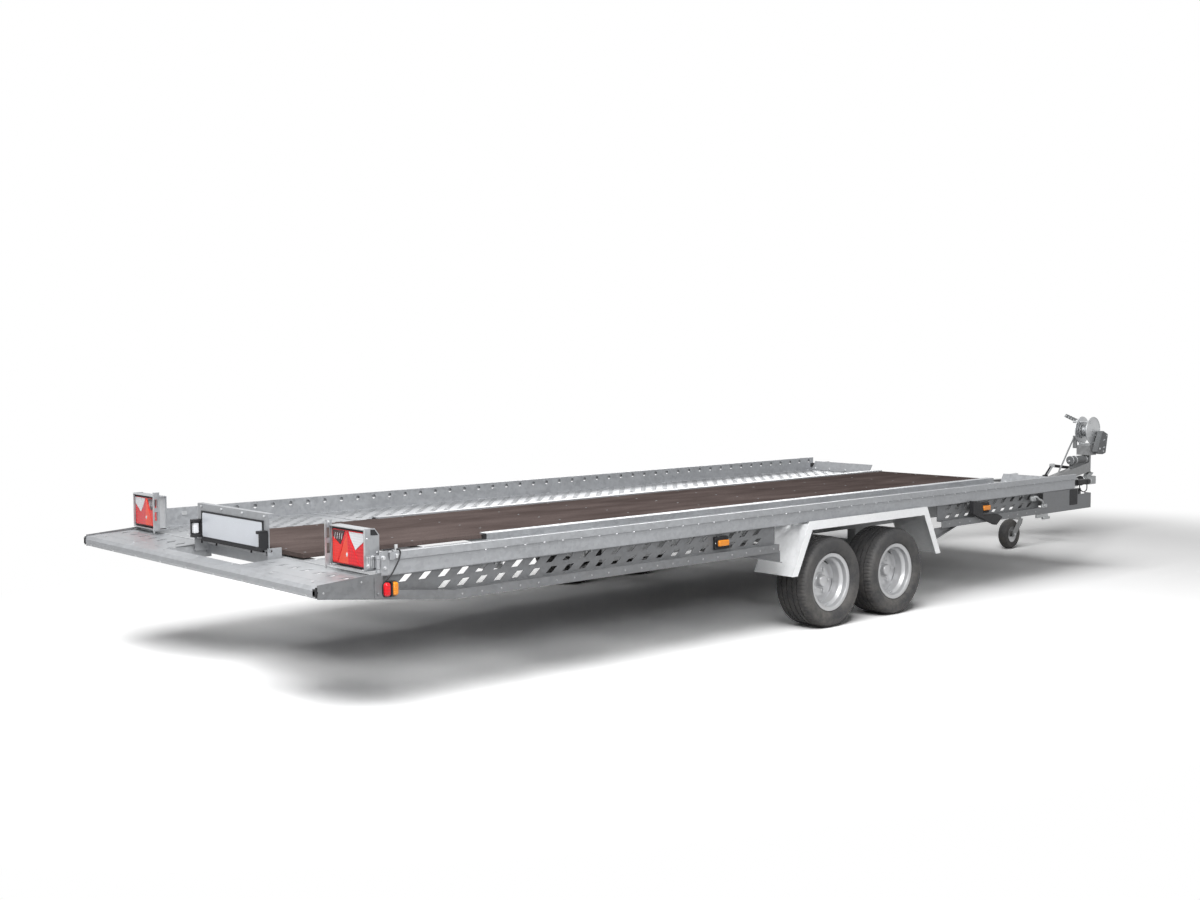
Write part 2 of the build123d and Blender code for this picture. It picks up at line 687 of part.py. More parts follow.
def winch_frame():
    """Frame of the winch: two round cheeks on a base, joined by a tie bar."""
    x, low = WINCH_STATION, WINCH_SHELF
    base = block(x - 45, x + 43, WINCH_RIGHT, WINCH_LEFT, low, low + 4)
    cheeks = []
    for y in (WINCH_RIGHT, WINCH_LEFT - 4):
        disc = rod((x, y, WINCH_AXIS), (x, y + 4, WINCH_AXIS), CHEEK_RADIUS)
        cheek = disc + block(x - 45, x + 43, y, y + 4, low, WINCH_AXIS)
        cheek -= rod((x, y - 1, WINCH_AXIS), (x, y + 5, WINCH_AXIS), 10.5)
        pinion = (x - PINION_BACK, WINCH_AXIS + PINION_RISE)
        cheek -= rod((pinion[0], y - 1, pinion[1]), (pinion[0], y + 5, pinion[1]), 8.5)
        cheeks.append(cheek)
    tie = rod((x - 36, WINCH_RIGHT, low + 12), (x - 36, WINCH_LEFT, low + 12), 5)
    return base + cheeks[0] + cheeks[1] + tie


def winch_drum():
    """Drum with two flanges and its shaft."""
    left, right, sheet = WINCH_LEFT - 11, WINCH_RIGHT + 11, 3
    profile = [
        (0, right - 13), (10, right - 13), (10, right), (DRUM_FLANGE, right),
        (DRUM_FLANGE, right + sheet), (DRUM_RADIUS, right + sheet), (DRUM_RADIUS, left - sheet),
        (DRUM_FLANGE, left - sheet), (DRUM_FLANGE, left), (10, left), (10, left + 15), (0, left + 15),
    ]
    return turned(profile, (WINCH_STATION, 0, WINCH_AXIS))


def winch_cover():
    """Leaning gear cover outside the right cheek, on two spacers."""
    outline = [(6342, 616), (6423, 597), (6468, 606), (6498, 742), (6424, 771)]
    shell = side_prism(outline, WINCH_RIGHT - 50, WINCH_RIGHT - 8)
    shell = shell.fillet(9, shell.edges().filter_by(Axis.Y))
    for x, z in ((6405, 735), (6385, 682)):
        shell += rod((x, WINCH_RIGHT - 9, z), (x, WINCH_RIGHT, z), 7)
    return shell


def winch_crank():
    """Pinion shaft, crank arm and grip on the left side."""
    x, z = WINCH_STATION - PINION_BACK, WINCH_AXIS + PINION_RISE
    shaft = rod((x, WINCH_RIGHT - 2, z), (x, 76, z), 8)
    arm = rod((x, 70, z), (x + CRANK_ARM, 70, z - 4), 7)
    grip = rod((x + CRANK_ARM, 66, z - 4), (x + CRANK_ARM, 176, z + 42), 13)
    return shaft + arm + grip


# Jockey wheel


def jockey_pivot():
    """Station of the vertical swivel axis."""
    return JOCKEY_STATION + JOCKEY_TRAIL


def jockey_tube():
    """Outer tube with its clamp on the drawbar bridge, closed at the top."""
    x = jockey_pivot()
    tube = Pos(x, JOCKEY_SIDE, (JOCKEY_TUBE_BOTTOM + JOCKEY_TUBE_TOP) / 2) * Cylinder(
        JOCKEY_TUBE, JOCKEY_TUBE_TOP - JOCKEY_TUBE_BOTTOM
    )
    bore = Pos(x, JOCKEY_SIDE, (JOCKEY_TUBE_BOTTOM + JOCKEY_TUBE_TOP) / 2 - 4) * Cylinder(
        JOCKEY_TUBE - 4, JOCKEY_TUBE_TOP - JOCKEY_TUBE_BOTTOM
    )
    right, left = JOCKEY_SIDE - 38, JOCKEY_SIDE + 38
    clamp = block(x - 38, x + 92, right, left, 418, 438)
    clamp += block(x - 38, x + 92, right, left, 374, 394)
    plate = block(x + 84, x + 92, right, left, 394, 418)
    core = Pos(x, JOCKEY_SIDE, 410) * Cylinder(JOCKEY_TUBE, 140)
    return tube - bore + (clamp + plate - core)


def jockey_leg():
    """Inner tube that the spindle raises and lowers."""
    return Pos(jockey_pivot(), JOCKEY_SIDE, 316) * Cylinder(JOCKEY_TUBE - 5, 204)


def jockey_fork():
    """Swivelling fork that trails behind the leg."""
    x, y, r = jockey_pivot(), JOCKEY_SIDE, JOCKEY_RADIUS
    crown = Pos(x, y, 208) * Cylinder(32, 12)
    bridge = block(x - 30, x + 20, y - 40, y + 40, 196, 202)
    pieces = [crown, bridge]
    for side in (-1, 1):
        outline = [
            (x - 30, 202), (x + 20, 202), (x + 8, 170), (JOCKEY_STATION + 16, r - 14),
            (JOCKEY_STATION - 16, r - 14), (JOCKEY_STATION - 16, r + 14),
        ]
        y0, y1 = sorted((y + side * 36.0, y + side * 40.0))
        pieces.append(side_prism(outline, y0, y1))
    pieces.append(rod((JOCKEY_STATION, y - 44, r), (JOCKEY_STATION, y + 44, r), 8))
    return pieces[0].fuse(*pieces[1:])


def jockey_wheel():
    """Solid rubber tyre on a pressed hub, as one turned piece."""
    half, r = JOCKEY_WIDTH / 2, JOCKEY_RADIUS
    profile = [
        (8.5, -32), (18, -32), (18, -14), (52, -14), (56, -half), (r - 14, -half), (r - 3, -half + 12),
        (r, -6), (r, 6), (r - 3, half - 12), (r - 14, half), (56, half), (52, 14), (18, 14),
        (18, 32), (8.5, 32),
    ]
    return turned(profile, (JOCKEY_STATION, JOCKEY_SIDE, r))


# Lamps, plate and small fittings, made for the left side where they come in pairs


def lamp_post():
    """Side bracket behind the rail end with the two low hinge knuckles of the lamp."""
    x, y = LAMP_STATION, HINGE_OFFSET
    base = block(x - 30, RAIL_REAR - 1, y - 20, SKIRT_OUT - SHEET, FLOOR_TOP, FLOOR_TOP + 5)
    plate = block(x + 13, RAIL_REAR - 1, y - 4, y + 1, FLOOR_TOP + 5, RAIL_TOP + 5)
    knuckles = []
    for z0, z1 in ((HINGE_HEIGHT - 32, HINGE_HEIGHT - 19), (HINGE_HEIGHT + 19, HINGE_HEIGHT + 32)):
        barrel = Pos(x, y, (z0 + z1) / 2) * Cylinder(9, z1 - z0)
        knuckles.append(barrel + block(x, x + 13, y - 4, y + 4, z0, z1))
    return base + plate + knuckles[0] + knuckles[1]


def lamp_housing():
    """Sheet housing of a tail lamp with hood, slotted inner strip, side plate and hinge flag."""
    x, z = LAMP_STATION, HINGE_HEIGHT
    inner, outer = LAMP_INNER - 12, LAMP_OUTER + 3
    low, high = LAMP_LOW - 12, LAMP_HIGH + 12
    back = block(x + 5, x + 8, inner, outer, low, high)
    hood = block(x - 42, x + 5, inner, outer, high - 3, high)
    floor = block(x - 42, x + 5, inner, outer, low, low + 3)
    strip = block(x - 58, x - 28, inner - 3, inner, 541, high + 20)
    slots = [block(x - 52, x - 37, inner - 4, inner + 1, z0, z0 + 40) for z0 in (598, 656)]
    slots.append(block(x - 53, x - 27, inner - 4, inner + 1, 540, low))
    side = side_prism(
        [(x - 42, low), (x + 24, low), (x + 24, high - 22), (x + 4, high + 3), (x - 42, high + 3)],
        outer, outer + 3,
    )
    bracket = block(x - 40, x + 8, outer + 3, outer + 8, low + 5, z + 33)
    flag = block(x - 4, x + 5, outer + 8, HINGE_OFFSET, z - 14, z + 14)
    pin = Pos(x, HINGE_OFFSET, z) * Cylinder(8, 35)
    return back + hood + floor + (strip - slots) + side + bracket + flag + pin


def lamp_lens():
    """Lens block of a tail lamp."""
    x = LAMP_STATION
    lens = block(x - 38, x + 5, LAMP_INNER, LAMP_OUTER, LAMP_LOW, LAMP_HIGH)
    return lens.fillet(5, lens.edges().filter_by(Axis.X))


def plate_carrier():
    """Panel across the middle of the rear end with two feet and a fold along its lower edge."""
    x, low, high = PLATE_STATION + 12, PLATE_LOW - 8, PLATE_LOW + PLATE_HEIGHT + 34
    panel = block(x, x + 3, -CARRIER_HALF, CARRIER_HALF, low, high)
    fold = block(x, x + 26, -CARRIER_HALF, CARRIER_HALF, high - 3, high)
    pin = rod((x + 4, -CARRIER_HALF, low + 2), (x + 4, CARRIER_HALF, low + 2), 5)
    return panel + fold + pin


def carrier_feet():
    """Cross beam between the slopes and the bearers on it that hold the plate carrier."""
    x, low = PLATE_STATION + 22, PLATE_LOW - 6
    feet = [block(x + 40, x + 76, -SLOPE_INNER, SLOPE_INNER, FLOOR_TOP - 45, FLOOR_TOP - 3)]
    for side in (-1, 1):
        y0, y1 = sorted((side * (CARRIER_HALF + 6), side * (CARRIER_HALF + 12)))
        foot = block(x - 22, x + 40, y0, y1, FLOOR_TOP - 30, low + 12)
        foot -= Pos(x - 6, side * (CARRIER_HALF + 9), low) * Rot(90, 0, 0) * Cylinder(5.5, 20)
        y2, y3 = sorted((side * (CARRIER_HALF + 12), side * (SLOPE_INNER - 1)))
        foot += block(x - 22, x + 40, y2, y3, FLOOR_TOP - 30, FLOOR_TOP - 24)
        feet.append(foot)
    return joined(feet)


def licence_plate():
    """Blank plate."""
    x = PLATE_STATION
    return block(x + 8, x + 12, -PLATE_WIDTH / 2, PLATE_WIDTH / 2, PLATE_LOW, PLATE_LOW + PLATE_HEIGHT)


def plate_lamps():
    """Lamps at both ends of the plate."""
    x = PLATE_STATION
    lamps = []
    for side in (-1, 1):
        y0, y1 = sorted((side * 270.0, side * 300.0))
        lamps.append(block(x - 30, x + 12, y0, y1, PLATE_LOW, PLATE_LOW + 76))
    return joined(lamps)


def side_marker(station):
    """Marker lamp on a bracket between rail and skirt."""
    return block(station - 45, station + 45, SKIRT_OUT - 30, SKIRT_OUT, 458, 516)


def rear_marker():
    """Rounded end-outline marker lamp beside the end of the rail."""
    body = block(-490, -422, SKIRT_OUT, SKIRT_OUT + 22, 454, 514)
    return body.fillet(16, body.edges().filter_by(Axis.Y))


def front_marker():
    """Position lamp ahead of the end of the rail, on a short arm."""
    arm = block(RAIL_FRONT - 30, 4480, RAIL_INNER - 2, RAIL_INNER, 552, 580)
    return arm + block(4478, 4644, SKIRT_OUT - 30, SKIRT_OUT + 6, 550, 582)


def lamp_lead():
    """Lead from the tail lamp over the end of the rail and down to the rear marker."""
    route = [
        (-475, 1003, 630), (-428, 1003, 630), (-412, 1024, 627), (-424, 1026, 590),
        (-452, 1025, 545), (-476, 1019, 516),
    ]
    path = FilletPolyline(*route, radius=[14, 14, 40, 40])
    section = Plane(origin=path @ 0, z_dir=path % 0) * Circle(LEAD_RADIUS)
    return sweep(section, path)


def wheel_chock():
    """Wheel chock on the right side, cut back round the side marker."""
    chock = [
        (3330, 540), (3400, 525), (3424, 515), (3424, 452), (3569, 452), (3620, 430), (3560, 390),
        (3330, 470),
    ]
    return side_prism(chock, -GUARD_OUT + 1, -SKIRT_OUT)


def write(name, shape):
    """Moves a piece to the middle of the overall length and writes it."""
    export_step(Pos(-MIDDLE, 0, 0) * shape, f"parts/{name}.step")


def main():
    os.makedirs("parts", exist_ok=True)
    pairs = {
        "side_rail": side_rail(),
        "runway": runway() + rear_slope(),
        "mudguard": mudguard(),
        "chassis_beam": chassis_beam(),
        "drawbar": drawbar_beam(),
        "side_web_rear": web_panel(WEB_REAR, WEB_GAP_REAR) + rear_side_plate(),
        "side_web_front": web_panel(WEB_GAP_FRONT, WEB_FRONT) + front_plate() + front_return(),
        "lamp_housing": lamp_housing(),
        "lamp_lens": lamp_lens(),
    }
    for name, shape in pairs.items():
        write(f"{name}_left", shape)
        write(f"{name}_right", other_side(shape))
    for axle_name in AXLE_STATIONS:
        write(f"axle_{axle_name}", axle(axle_name))
        for side, side_name in ((1, "left"), (-1, "right")):
            centre = wheel_centre(axle_name, side)
            write(f"tyre_{axle_name}_{side_name}", Pos(*centre) * tyre())
            write(f"rim_{axle_name}_{side_name}", Pos(*centre) * rim(side))
    write("deck_panels", deck_panels())
    write("deck_edges", joined([edge_profile(), other_side(edge_profile())]))
    write("floor_ribs", floor_ribs())
    write("ply_rails", ply_rails())
    write("front_beam", front_beam())
    write("rear_lip", rear_lip())
    write("stop_plates", joined([stop_plate(), other_side(stop_plate())]))
    write("drawbar_bridge", drawbar_bridge())
    write("overrun_housing", overrun_housing())
    write("overrun_bellows", overrun_bellows())
    write("coupling_head", coupling_head())
    write("handbrake_lever", handbrake_lever())
    write("brake_cylinder", brake_cylinder())
    write("winch_post", winch_post())
    write("winch_frame", winch_frame())
    write("winch_drum", winch_drum())
    write("winch_cover", winch_cover())
    write("winch_crank", winch_crank())
    write("jockey_tube", jockey_tube())
    write("jockey_leg", jockey_leg())
    write("jockey_fork", jockey_fork())
    write("jockey_wheel", jockey_wheel())
    write("lamp_posts", joined([lamp_post(), other_side(lamp_post())]))
    write("plate_carrier", plate_carrier())
    write("carrier_feet", carrier_feet())
    write("licence_plate", licence_plate())
    write("plate_lamps", plate_lamps())
    markers = [side_marker(x) for x in SIDE_MARKERS]
    write("side_markers", joined(markers + [other_side(lamp) for lamp in markers]))
    write("rear_markers", joined([rear_marker(), other_side(rear_marker())]))
    write("position_lamps", joined([front_marker(), other_side(front_marker())]))
    write("lamp_leads", joined([lamp_lead(), other_side(lamp_lead())]))
    write("wheel_chock", wheel_chock())


if __name__ == "__main__":
    main()
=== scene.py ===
"""Looks of a tandem-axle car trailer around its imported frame: finishes, treaded tyres, pierced
runways, lamps, fasteners, winch and drawbar fittings, and the studio that shows them."""

import json
import math

import bpy
import numpy as np
from mathutils import Matrix, Vector


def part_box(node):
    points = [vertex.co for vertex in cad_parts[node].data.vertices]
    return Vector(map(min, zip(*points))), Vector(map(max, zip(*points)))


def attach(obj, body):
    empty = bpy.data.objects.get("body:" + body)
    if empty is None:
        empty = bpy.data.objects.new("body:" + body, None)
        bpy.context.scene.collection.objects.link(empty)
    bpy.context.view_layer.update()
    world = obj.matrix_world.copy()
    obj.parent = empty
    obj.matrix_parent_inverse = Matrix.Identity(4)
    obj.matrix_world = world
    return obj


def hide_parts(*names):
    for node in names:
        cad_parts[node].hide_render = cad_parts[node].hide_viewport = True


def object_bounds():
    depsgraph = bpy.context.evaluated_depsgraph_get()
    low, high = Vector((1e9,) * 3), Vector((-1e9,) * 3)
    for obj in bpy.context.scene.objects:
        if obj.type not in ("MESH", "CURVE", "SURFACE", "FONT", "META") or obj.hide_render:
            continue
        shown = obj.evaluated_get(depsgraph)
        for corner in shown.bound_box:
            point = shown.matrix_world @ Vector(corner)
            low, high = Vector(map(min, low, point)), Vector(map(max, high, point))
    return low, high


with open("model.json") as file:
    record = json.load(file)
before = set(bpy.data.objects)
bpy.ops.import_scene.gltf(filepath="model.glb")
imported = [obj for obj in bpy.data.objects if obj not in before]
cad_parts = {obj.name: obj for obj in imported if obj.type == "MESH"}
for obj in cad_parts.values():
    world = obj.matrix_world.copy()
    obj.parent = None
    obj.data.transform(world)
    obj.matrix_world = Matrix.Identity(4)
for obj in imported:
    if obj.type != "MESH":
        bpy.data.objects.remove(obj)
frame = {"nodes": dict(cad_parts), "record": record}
CAD_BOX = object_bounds()

bl_info = {
    "name": "Car Trailer Looks",
    "version": (1, 0, 0),
    "blender": (4, 5, 0),
    "location": "View3D > Sidebar > Trailer",
    "description": "Builds the visible surfaces of a tandem-axle car trailer on its packed frame",
    "category": "Object",
}

# Lengths in this file are millimetres at stations counted from the rearmost lashing hole, as the
# rails are drilled. STATION_ZERO is where that hole lies in the frame, in metres.
RAIL_OVERHANG = 0.455
STATION_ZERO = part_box("side_rail_left")[0].x + RAIL_OVERHANG
MM = 0.001
SIDES = (("left", 1.0), ("right", -1.0))
AXLES = ("front", "rear")
TURN = 2.0 * math.pi
RIB_STATIONS = (-440, 80, 560, 1040, 1490, 2000, 2470, 2960, 3430, 3900, 4370)
# Where small parts sit: faces counted from the middle line, and heights above the ground.
SKIRT_FACE, WEB_FACE = 1008, 978
DECK_TOP, RUNWAY_TOP, COUPLING_LINE = 556, 535, 402


# ---------------------------------------------------------------- mesh building


def joined(*chunks):
    """One chunk, a pair of points and faces, from several, each one's faces counted on."""
    points, faces, start = [], [], 0
    for chunk_points, chunk_faces in chunks:
        points.append(chunk_points)
        faces.extend([face + start for face in chunk_faces])
        start += len(chunk_points)
    return np.concatenate(points), faces


def moved(chunk, offset):
    """The chunk with offset added to every point."""
    return chunk[0] + np.asarray(offset, float), chunk[1]


def flipped(chunk):
    """The same faces, read the other way round."""
    return chunk[0], [face[:, ::-1] for face in chunk[1]]


def mirrored(chunk, side):
    """The chunk for the left (side 1) or its mirror image in Y for the right (side -1)."""
    if side > 0:
        return chunk
    return flipped((chunk[0] * (1.0, -1.0, 1.0), chunk[1]))


def both(chunk):
    """The chunk and its mirror image in Y."""
    return joined(chunk, mirrored(chunk, -1))


def grid(points, wrap_u=False, wrap_v=False):
    """Quads over a table of points P[i, j]: each joins i, i+1 and j, j+1, and wraps where asked."""
    rows, columns = points.shape[:2]
    i = np.arange(rows if wrap_u else rows - 1)[:, None]
    j = np.arange(columns if wrap_v else columns - 1)[None, :]
    i2, j2 = (i + 1) % rows, (j + 1) % columns
    quads = np.stack([i * columns + j, i2 * columns + j, i2 * columns + j2, i * columns + j2], -1)
    return points.reshape(-1, 3), [quads.reshape(-1, 4)]


def fan(start, count):
    """The face that closes a ring of count points counted from start."""
    return np.arange(start, start + count)[None, :]


def box(x0, x1, y0, y1, z0, z1):
    """A block between two corners: its eight points are all pairings of the limits."""
    points = np.array([(x, y, z) for z in (z0, z1) for y in (y0, y1) for x in (x0, x1)], float)
    faces = [(0, 2, 3, 1), (4, 5, 7, 6), (0, 1, 5, 4), (2, 6, 7, 3), (0, 4, 6, 2), (1, 3, 7, 5)]
    return points, [np.array(faces)]


def prism(outline, low, high, across="y"):
    """An outline pushed along one axis: the same ring of points at low and at high, sides and caps.
    The outline's pairs are X and Z for y, Y and Z for x, and X and Y for z."""
    ring = np.asarray(outline, float)
    area = np.sum(ring[:, 0] * np.roll(ring[:, 1], -1) - np.roll(ring[:, 0], -1) * ring[:, 1])
    if (area > 0) == (across == "y"):
        ring = ring[::-1]
    count = len(ring)
    points = np.zeros((2, count, 3))
    axes = {"x": (1, 2, 0), "y": (0, 2, 1), "z": (0, 1, 2)}[across]
    points[:, :, axes[0]], points[:, :, axes[1]] = ring[:, 0], ring[:, 1]
    points[0, :, axes[2]], points[1, :, axes[2]] = low, high
    flat, faces = grid(points, wrap_v=True)
    return flat, [faces[0][:, ::-1], fan(0, count)[:, ::-1], fan(count, count)]


def lathe(steps, *profile):
    """A profile of (radius, offset) turned about Y: at angle t a point is radius times
    (cos t, sin t) across the axis and offset along it. The profile is a closed ring."""
    ring = np.asarray(profile, float)
    area = np.sum(ring[:, 0] * np.roll(ring[:, 1], -1) - np.roll(ring[:, 0], -1) * ring[:, 1])
    if area > 0:
        ring = ring[::-1]
    angle = np.linspace(0, TURN, steps, endpoint=False)
    points = turned(ring[None, :, 0], ring[None, :, 1], angle[:, None])
    return grid(points, wrap_u=True, wrap_v=True)


def turned(radius, offset, angle, axis="y"):
    """Points at a radius and an angle across an axis and at an offset along it."""
    radius, offset, angle = np.broadcast_arrays(radius, offset, angle)
    a, b = radius * np.cos(angle), radius * np.sin(angle)
    parts = {"x": (offset, a, b), "y": (b, offset, a), "z": (a, b, offset)}[axis]
    return np.stack(parts, -1)


def tube(path, radius, sides=10, closed=False):
    """A round tube along a path: at each point a ring of the radius lies across the path's
    direction, on two directions square to it. The radius may change from point to point."""
    path = np.asarray(path, float)
    if closed:
        along = np.roll(path, -1, 0) - np.roll(path, 1, 0)
    else:
        along = np.gradient(path, axis=0)
    along /= np.linalg.norm(along, axis=1, keepdims=True)
    up = np.eye(3)[int(np.argmin(np.ptp(path, axis=0)))]
    first = np.cross(along, up)
    first /= np.maximum(np.linalg.norm(first, axis=1, keepdims=True), 1e-9)
    second = np.cross(along, first)
    angle = np.linspace(0, TURN, sides, endpoint=False)[None, :, None]
    radius = np.broadcast_to(np.asarray(radius, float), (len(path),))[:, None, None]
    ring = np.cos(angle) * first[:, None] + np.sin(angle) * second[:, None]
    points, faces = grid(path[:, None] + radius * ring, wrap_u=closed, wrap_v=True)
    if not closed:
        last = (len(path) - 1) * sides
        faces += [fan(0, sides)[:, ::-1], fan(last, sides)]
    return flipped((points, faces))


def smooth_path(points, count):
    """A path through the points: cubic Hermite pieces whose slopes are the mean of the chords on
    both sides (Catmull-Rom), sampled evenly in each piece."""
    points = np.asarray(points, float)
    slope = np.gradient(points, axis=0)
    t = np.linspace(0, len(points) - 1, count)
    k = np.minimum(t.astype(int), len(points) - 2)
    u = (t - k)[:, None]
    return (
        (2 * u**3 - 3 * u**2 + 1) * points[k]
        + (u**3 - 2 * u**2 + u) * slope[k]
        + (3 * u**2 - 2 * u**3) * points[k + 1]
        + (u**3 - u**2) * slope[k + 1]
    )


def repeated(chunk, places):
    """The chunk once at each place: every point plus every place, faces counted on."""
    points, faces = chunk
    places = np.asarray(places, float)
    count = len(points)
    many = (places[:, None] + points[None]).reshape(-1, 3)
    starts = np.arange(len(places))[:, None, None] * count
    return many, [(face[None] + starts).reshape(-1, face.shape[1]) for face in faces]


def across(chunk, axis):
    """Turns a chunk made along +Z so that it points along a signed axis such as "-y"."""
    order = {"x": (2, 0, 1), "y": (1, 2, 0), "z": (0, 1, 2)}[axis[-1]]
    points = chunk[0][:, order]
    if axis[0] == "-":
        turn = {"x": (-1, -1, 1), "y": (-1, -1, 1), "z": (1, -1, -1)}[axis[-1]]
        points = points * turn
    return points, chunk[1]


def capped(rings, sides):
    """Rings of (radius, height) turned about Z and joined one to the next, the last one closed."""
    radius, height = np.array(rings, float).T[:, :, None]
    angle = np.linspace(0, TURN, sides, endpoint=False)[None, :]
    points, faces = grid(turned(radius, height, angle, "z"), wrap_v=True)
    return points, [*faces, fan((len(rings) - 1) * sides, sides)]


def hexagon_bolt(size):
    """A washer and a chamfered hexagon head on it, pointing along +Z from z = 0."""
    flat = size * 0.87
    head = capped([(flat, 0.1 * size), (flat, 0.66 * size), (flat * 0.86, 0.76 * size)], 6)
    return joined(washer(size * 1.1, 0.14 * size), head)


def washer(radius, height):
    """A low round disc with a chamfered rim, pointing along +Z."""
    return capped([(radius, -0.2), (radius, 0.6 * height), (radius * 0.93, height)], 12)


def dome(radius, height):
    """A low round head, such as a rivet or a coach bolt, pointing along +Z."""
    profile = ((1.0, -0.2), (0.96, 0.35), (0.72, 0.78), (0.34, 1.0))
    return capped([(share * radius, rise * height) for share, rise in profile], 10)


def bolts(size, axis, places):
    """Hexagon bolts of one size along a signed axis, one at each place."""
    return repeated(across(hexagon_bolt(size), axis), places)


def rivets(radius, height, axis, places):
    """Domed heads along a signed axis, one at each place."""
    return repeated(across(dome(radius, height), axis), places)


def bent_tube(points, count, radius, sides):
    """A closed round tube along the smooth path through the points, sampled count times."""
    return outward(tube(smooth_path(points, count), radius, sides))


def hoop(radius, centre, thickness, steps):
    """A round wire bent to a circle across X about a centre."""
    angle = np.linspace(0, TURN, steps, endpoint=False)
    circle = turned(radius, centre[0], angle, "x") + (0, *centre[1:])
    return outward(tube(circle, thickness, 8, closed=True))


def rows_of(xs, ys, zs):
    """Every pairing of the given places."""
    grids = np.meshgrid(xs, ys, zs, indexing="ij")
    return np.stack([part.ravel() for part in grids], -1).astype(float)


def pierced(us, vs, cells, outline, place, thickness):
    """A sheet over the grid lines us and vs with a hole in each marked pair of cells.

    cells[i, j] is 0 for a plain cell and 1 and 2 for the left and right half of a hole. outline is
    the hole about the middle of its pair, 6 q points counted from its lower left, so that each of
    the pair's six outer edges faces q of its edges. Both faces and all walls come from the same
    points, put at depth 0 and at minus the thickness by place(u, v, depth)."""
    columns, rows = len(us), len(vs)

    def corner(i, j):
        return i * rows + j

    u, v = np.meshgrid(us, vs, indexing="ij")
    i, j = np.nonzero(cells == 1)
    hole_u = us[i + 1][:, None] + outline[:, 0]
    hole_v = ((vs[j] + vs[j + 1]) / 2)[:, None] + outline[:, 1]
    u, v = np.append(u, hole_u), np.append(v, hole_v)
    first = columns * rows + np.arange(len(i)) * len(outline)
    ring = [corner(i + a, j + b) for a, b in ((0, 0), (1, 0), (2, 0), (2, 1), (1, 1), (0, 1))]
    share = len(outline) // 6
    x, y = np.nonzero(cells == 0)
    top = [np.stack([corner(x, y), corner(x + 1, y), corner(x + 1, y + 1), corner(x, y + 1)], -1)]
    for side in range(6):
        inner = [first + (share * (side + 1) - t) % len(outline) for t in range(share + 1)]
        top.append(np.stack([ring[side], ring[(side + 1) % 6], *inner], -1))
    total = len(u)
    step = np.arange(len(outline))
    here = (first[:, None] + step).ravel()
    after = (first[:, None] + np.roll(step, -1)).ravel()
    walls = [np.stack([here, after, after + total, here + total], -1)]
    along, up = np.arange(columns - 1), np.arange(rows - 1)
    edges = [
        (corner(along, 0), corner(along + 1, 0)),
        (corner(along + 1, rows - 1), corner(along, rows - 1)),
        (corner(columns - 1, up), corner(columns - 1, up + 1)),
        (corner(0, up + 1), corner(0, up)),
    ]
    walls += [np.stack([a, a + total, b + total, b], -1) for a, b in edges]
    points = np.concatenate([place(u, v, 0.0), place(u, v, -thickness)])
    return points, top + [face[:, ::-1] + total for face in top] + walls


def staggered(columns, rows):
    """Marks for pierced(): holes two cells long in each row, every other row half a hole on."""
    cells = np.zeros((columns, rows), int)
    for row in range(rows):
        start = row % 2
        count = (columns - start) // 2
        cells[start : start + 2 * count : 2, row] = 1
        cells[start + 1 : start + 2 * count : 2, row] = 2
    return cells


def slanted_hole(length, width, lean):
    """A parallelogram's outline: its top edge is moved on by the lean from its bottom edge."""
    a, b, s = length / 2, width / 2, lean / 2
    return np.array([(-a - s, -b), (-s, -b), (a - s, -b), (a + s, b), (s, b), (-a + s, b)])


def piece(name, chunk, body, slot, look=None, replaces=(), crease=32.0):
    """Puts a chunk into the scene as one object of the trailer, its points in metres in the frame.
    It has the finish called look, or else its slot's own. Edges sharper than crease degrees stay
    sharp."""
    points, faces = chunk
    points = points * MM + (STATION_ZERO, 0.0, 0.0)
    mesh = bpy.data.meshes.new(name)
    sizes = np.concatenate([np.full(len(face), face.shape[1]) for face in faces])
    corners = np.concatenate([face.ravel() for face in faces])
    mesh.vertices.add(len(points))
    mesh.vertices.foreach_set("co", points.ravel())
    mesh.loops.add(len(corners))
    mesh.loops.foreach_set("vertex_index", corners.astype(np.int32))
    mesh.polygons.add(len(sizes))
    mesh.polygons.foreach_set("loop_start", (np.cumsum(sizes) - sizes).astype(np.int32))
    mesh.update(calc_edges=True)
    mesh.shade_smooth()
    mesh.set_sharp_from_angle(angle=math.radians(crease))
    mesh.materials.append(bpy.data.materials[look or slot])
    built = bpy.data.objects.new(name, mesh)
    bpy.context.scene.collection.objects.link(built)
    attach(built, body)
    if replaces:
        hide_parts(*replaces)
    return built


# ---------------------------------------------------------------- small shapes


def outward(chunk):
    """The chunk with its faces turned outwards. The volume under each face, the triple product of
    its corners summed over a fan, adds up to less than nothing where they point inwards."""
    points, faces = chunk
    volume = 0.0
    for face in faces:
        corner = points[face]
        first = corner[:, :1]
        volume += np.sum(first * np.cross(corner[:, 1:-1], corner[:, 2:]))
    return flipped(chunk) if volume < 0 else chunk


def rounded(half_a, half_b, corner, steps=5):
    """A rectangle's outline with round corners: a quarter circle about each corner's centre."""
    angle = np.linspace(0, TURN / 4, steps)
    turns = angle[None, :] + (TURN / 4) * np.arange(4)[:, None]
    signs = np.array([(1, 1), (-1, 1), (-1, -1), (1, -1)], float)
    centres = signs * (half_a - corner, half_b - corner)
    ring = centres[:, None] + corner * np.stack([np.cos(turns), np.sin(turns)], -1)
    return ring.reshape(-1, 2)


def stack(levels, axis="y"):
    """Rings of (outline, offset) joined one to the next along an axis, both ends closed."""
    rings = np.array(
        [np.column_stack([ring, np.full(len(ring), offset)]) for ring, offset in levels]
    )
    order = {"x": (2, 0, 1), "y": (0, 2, 1), "z": (0, 1, 2)}[axis]
    count = rings.shape[1]
    points, faces = grid(rings[:, :, order], wrap_v=True)
    last = (len(levels) - 1) * count
    return outward((points, [*faces, fan(0, count)[:, ::-1], fan(last, count)]))


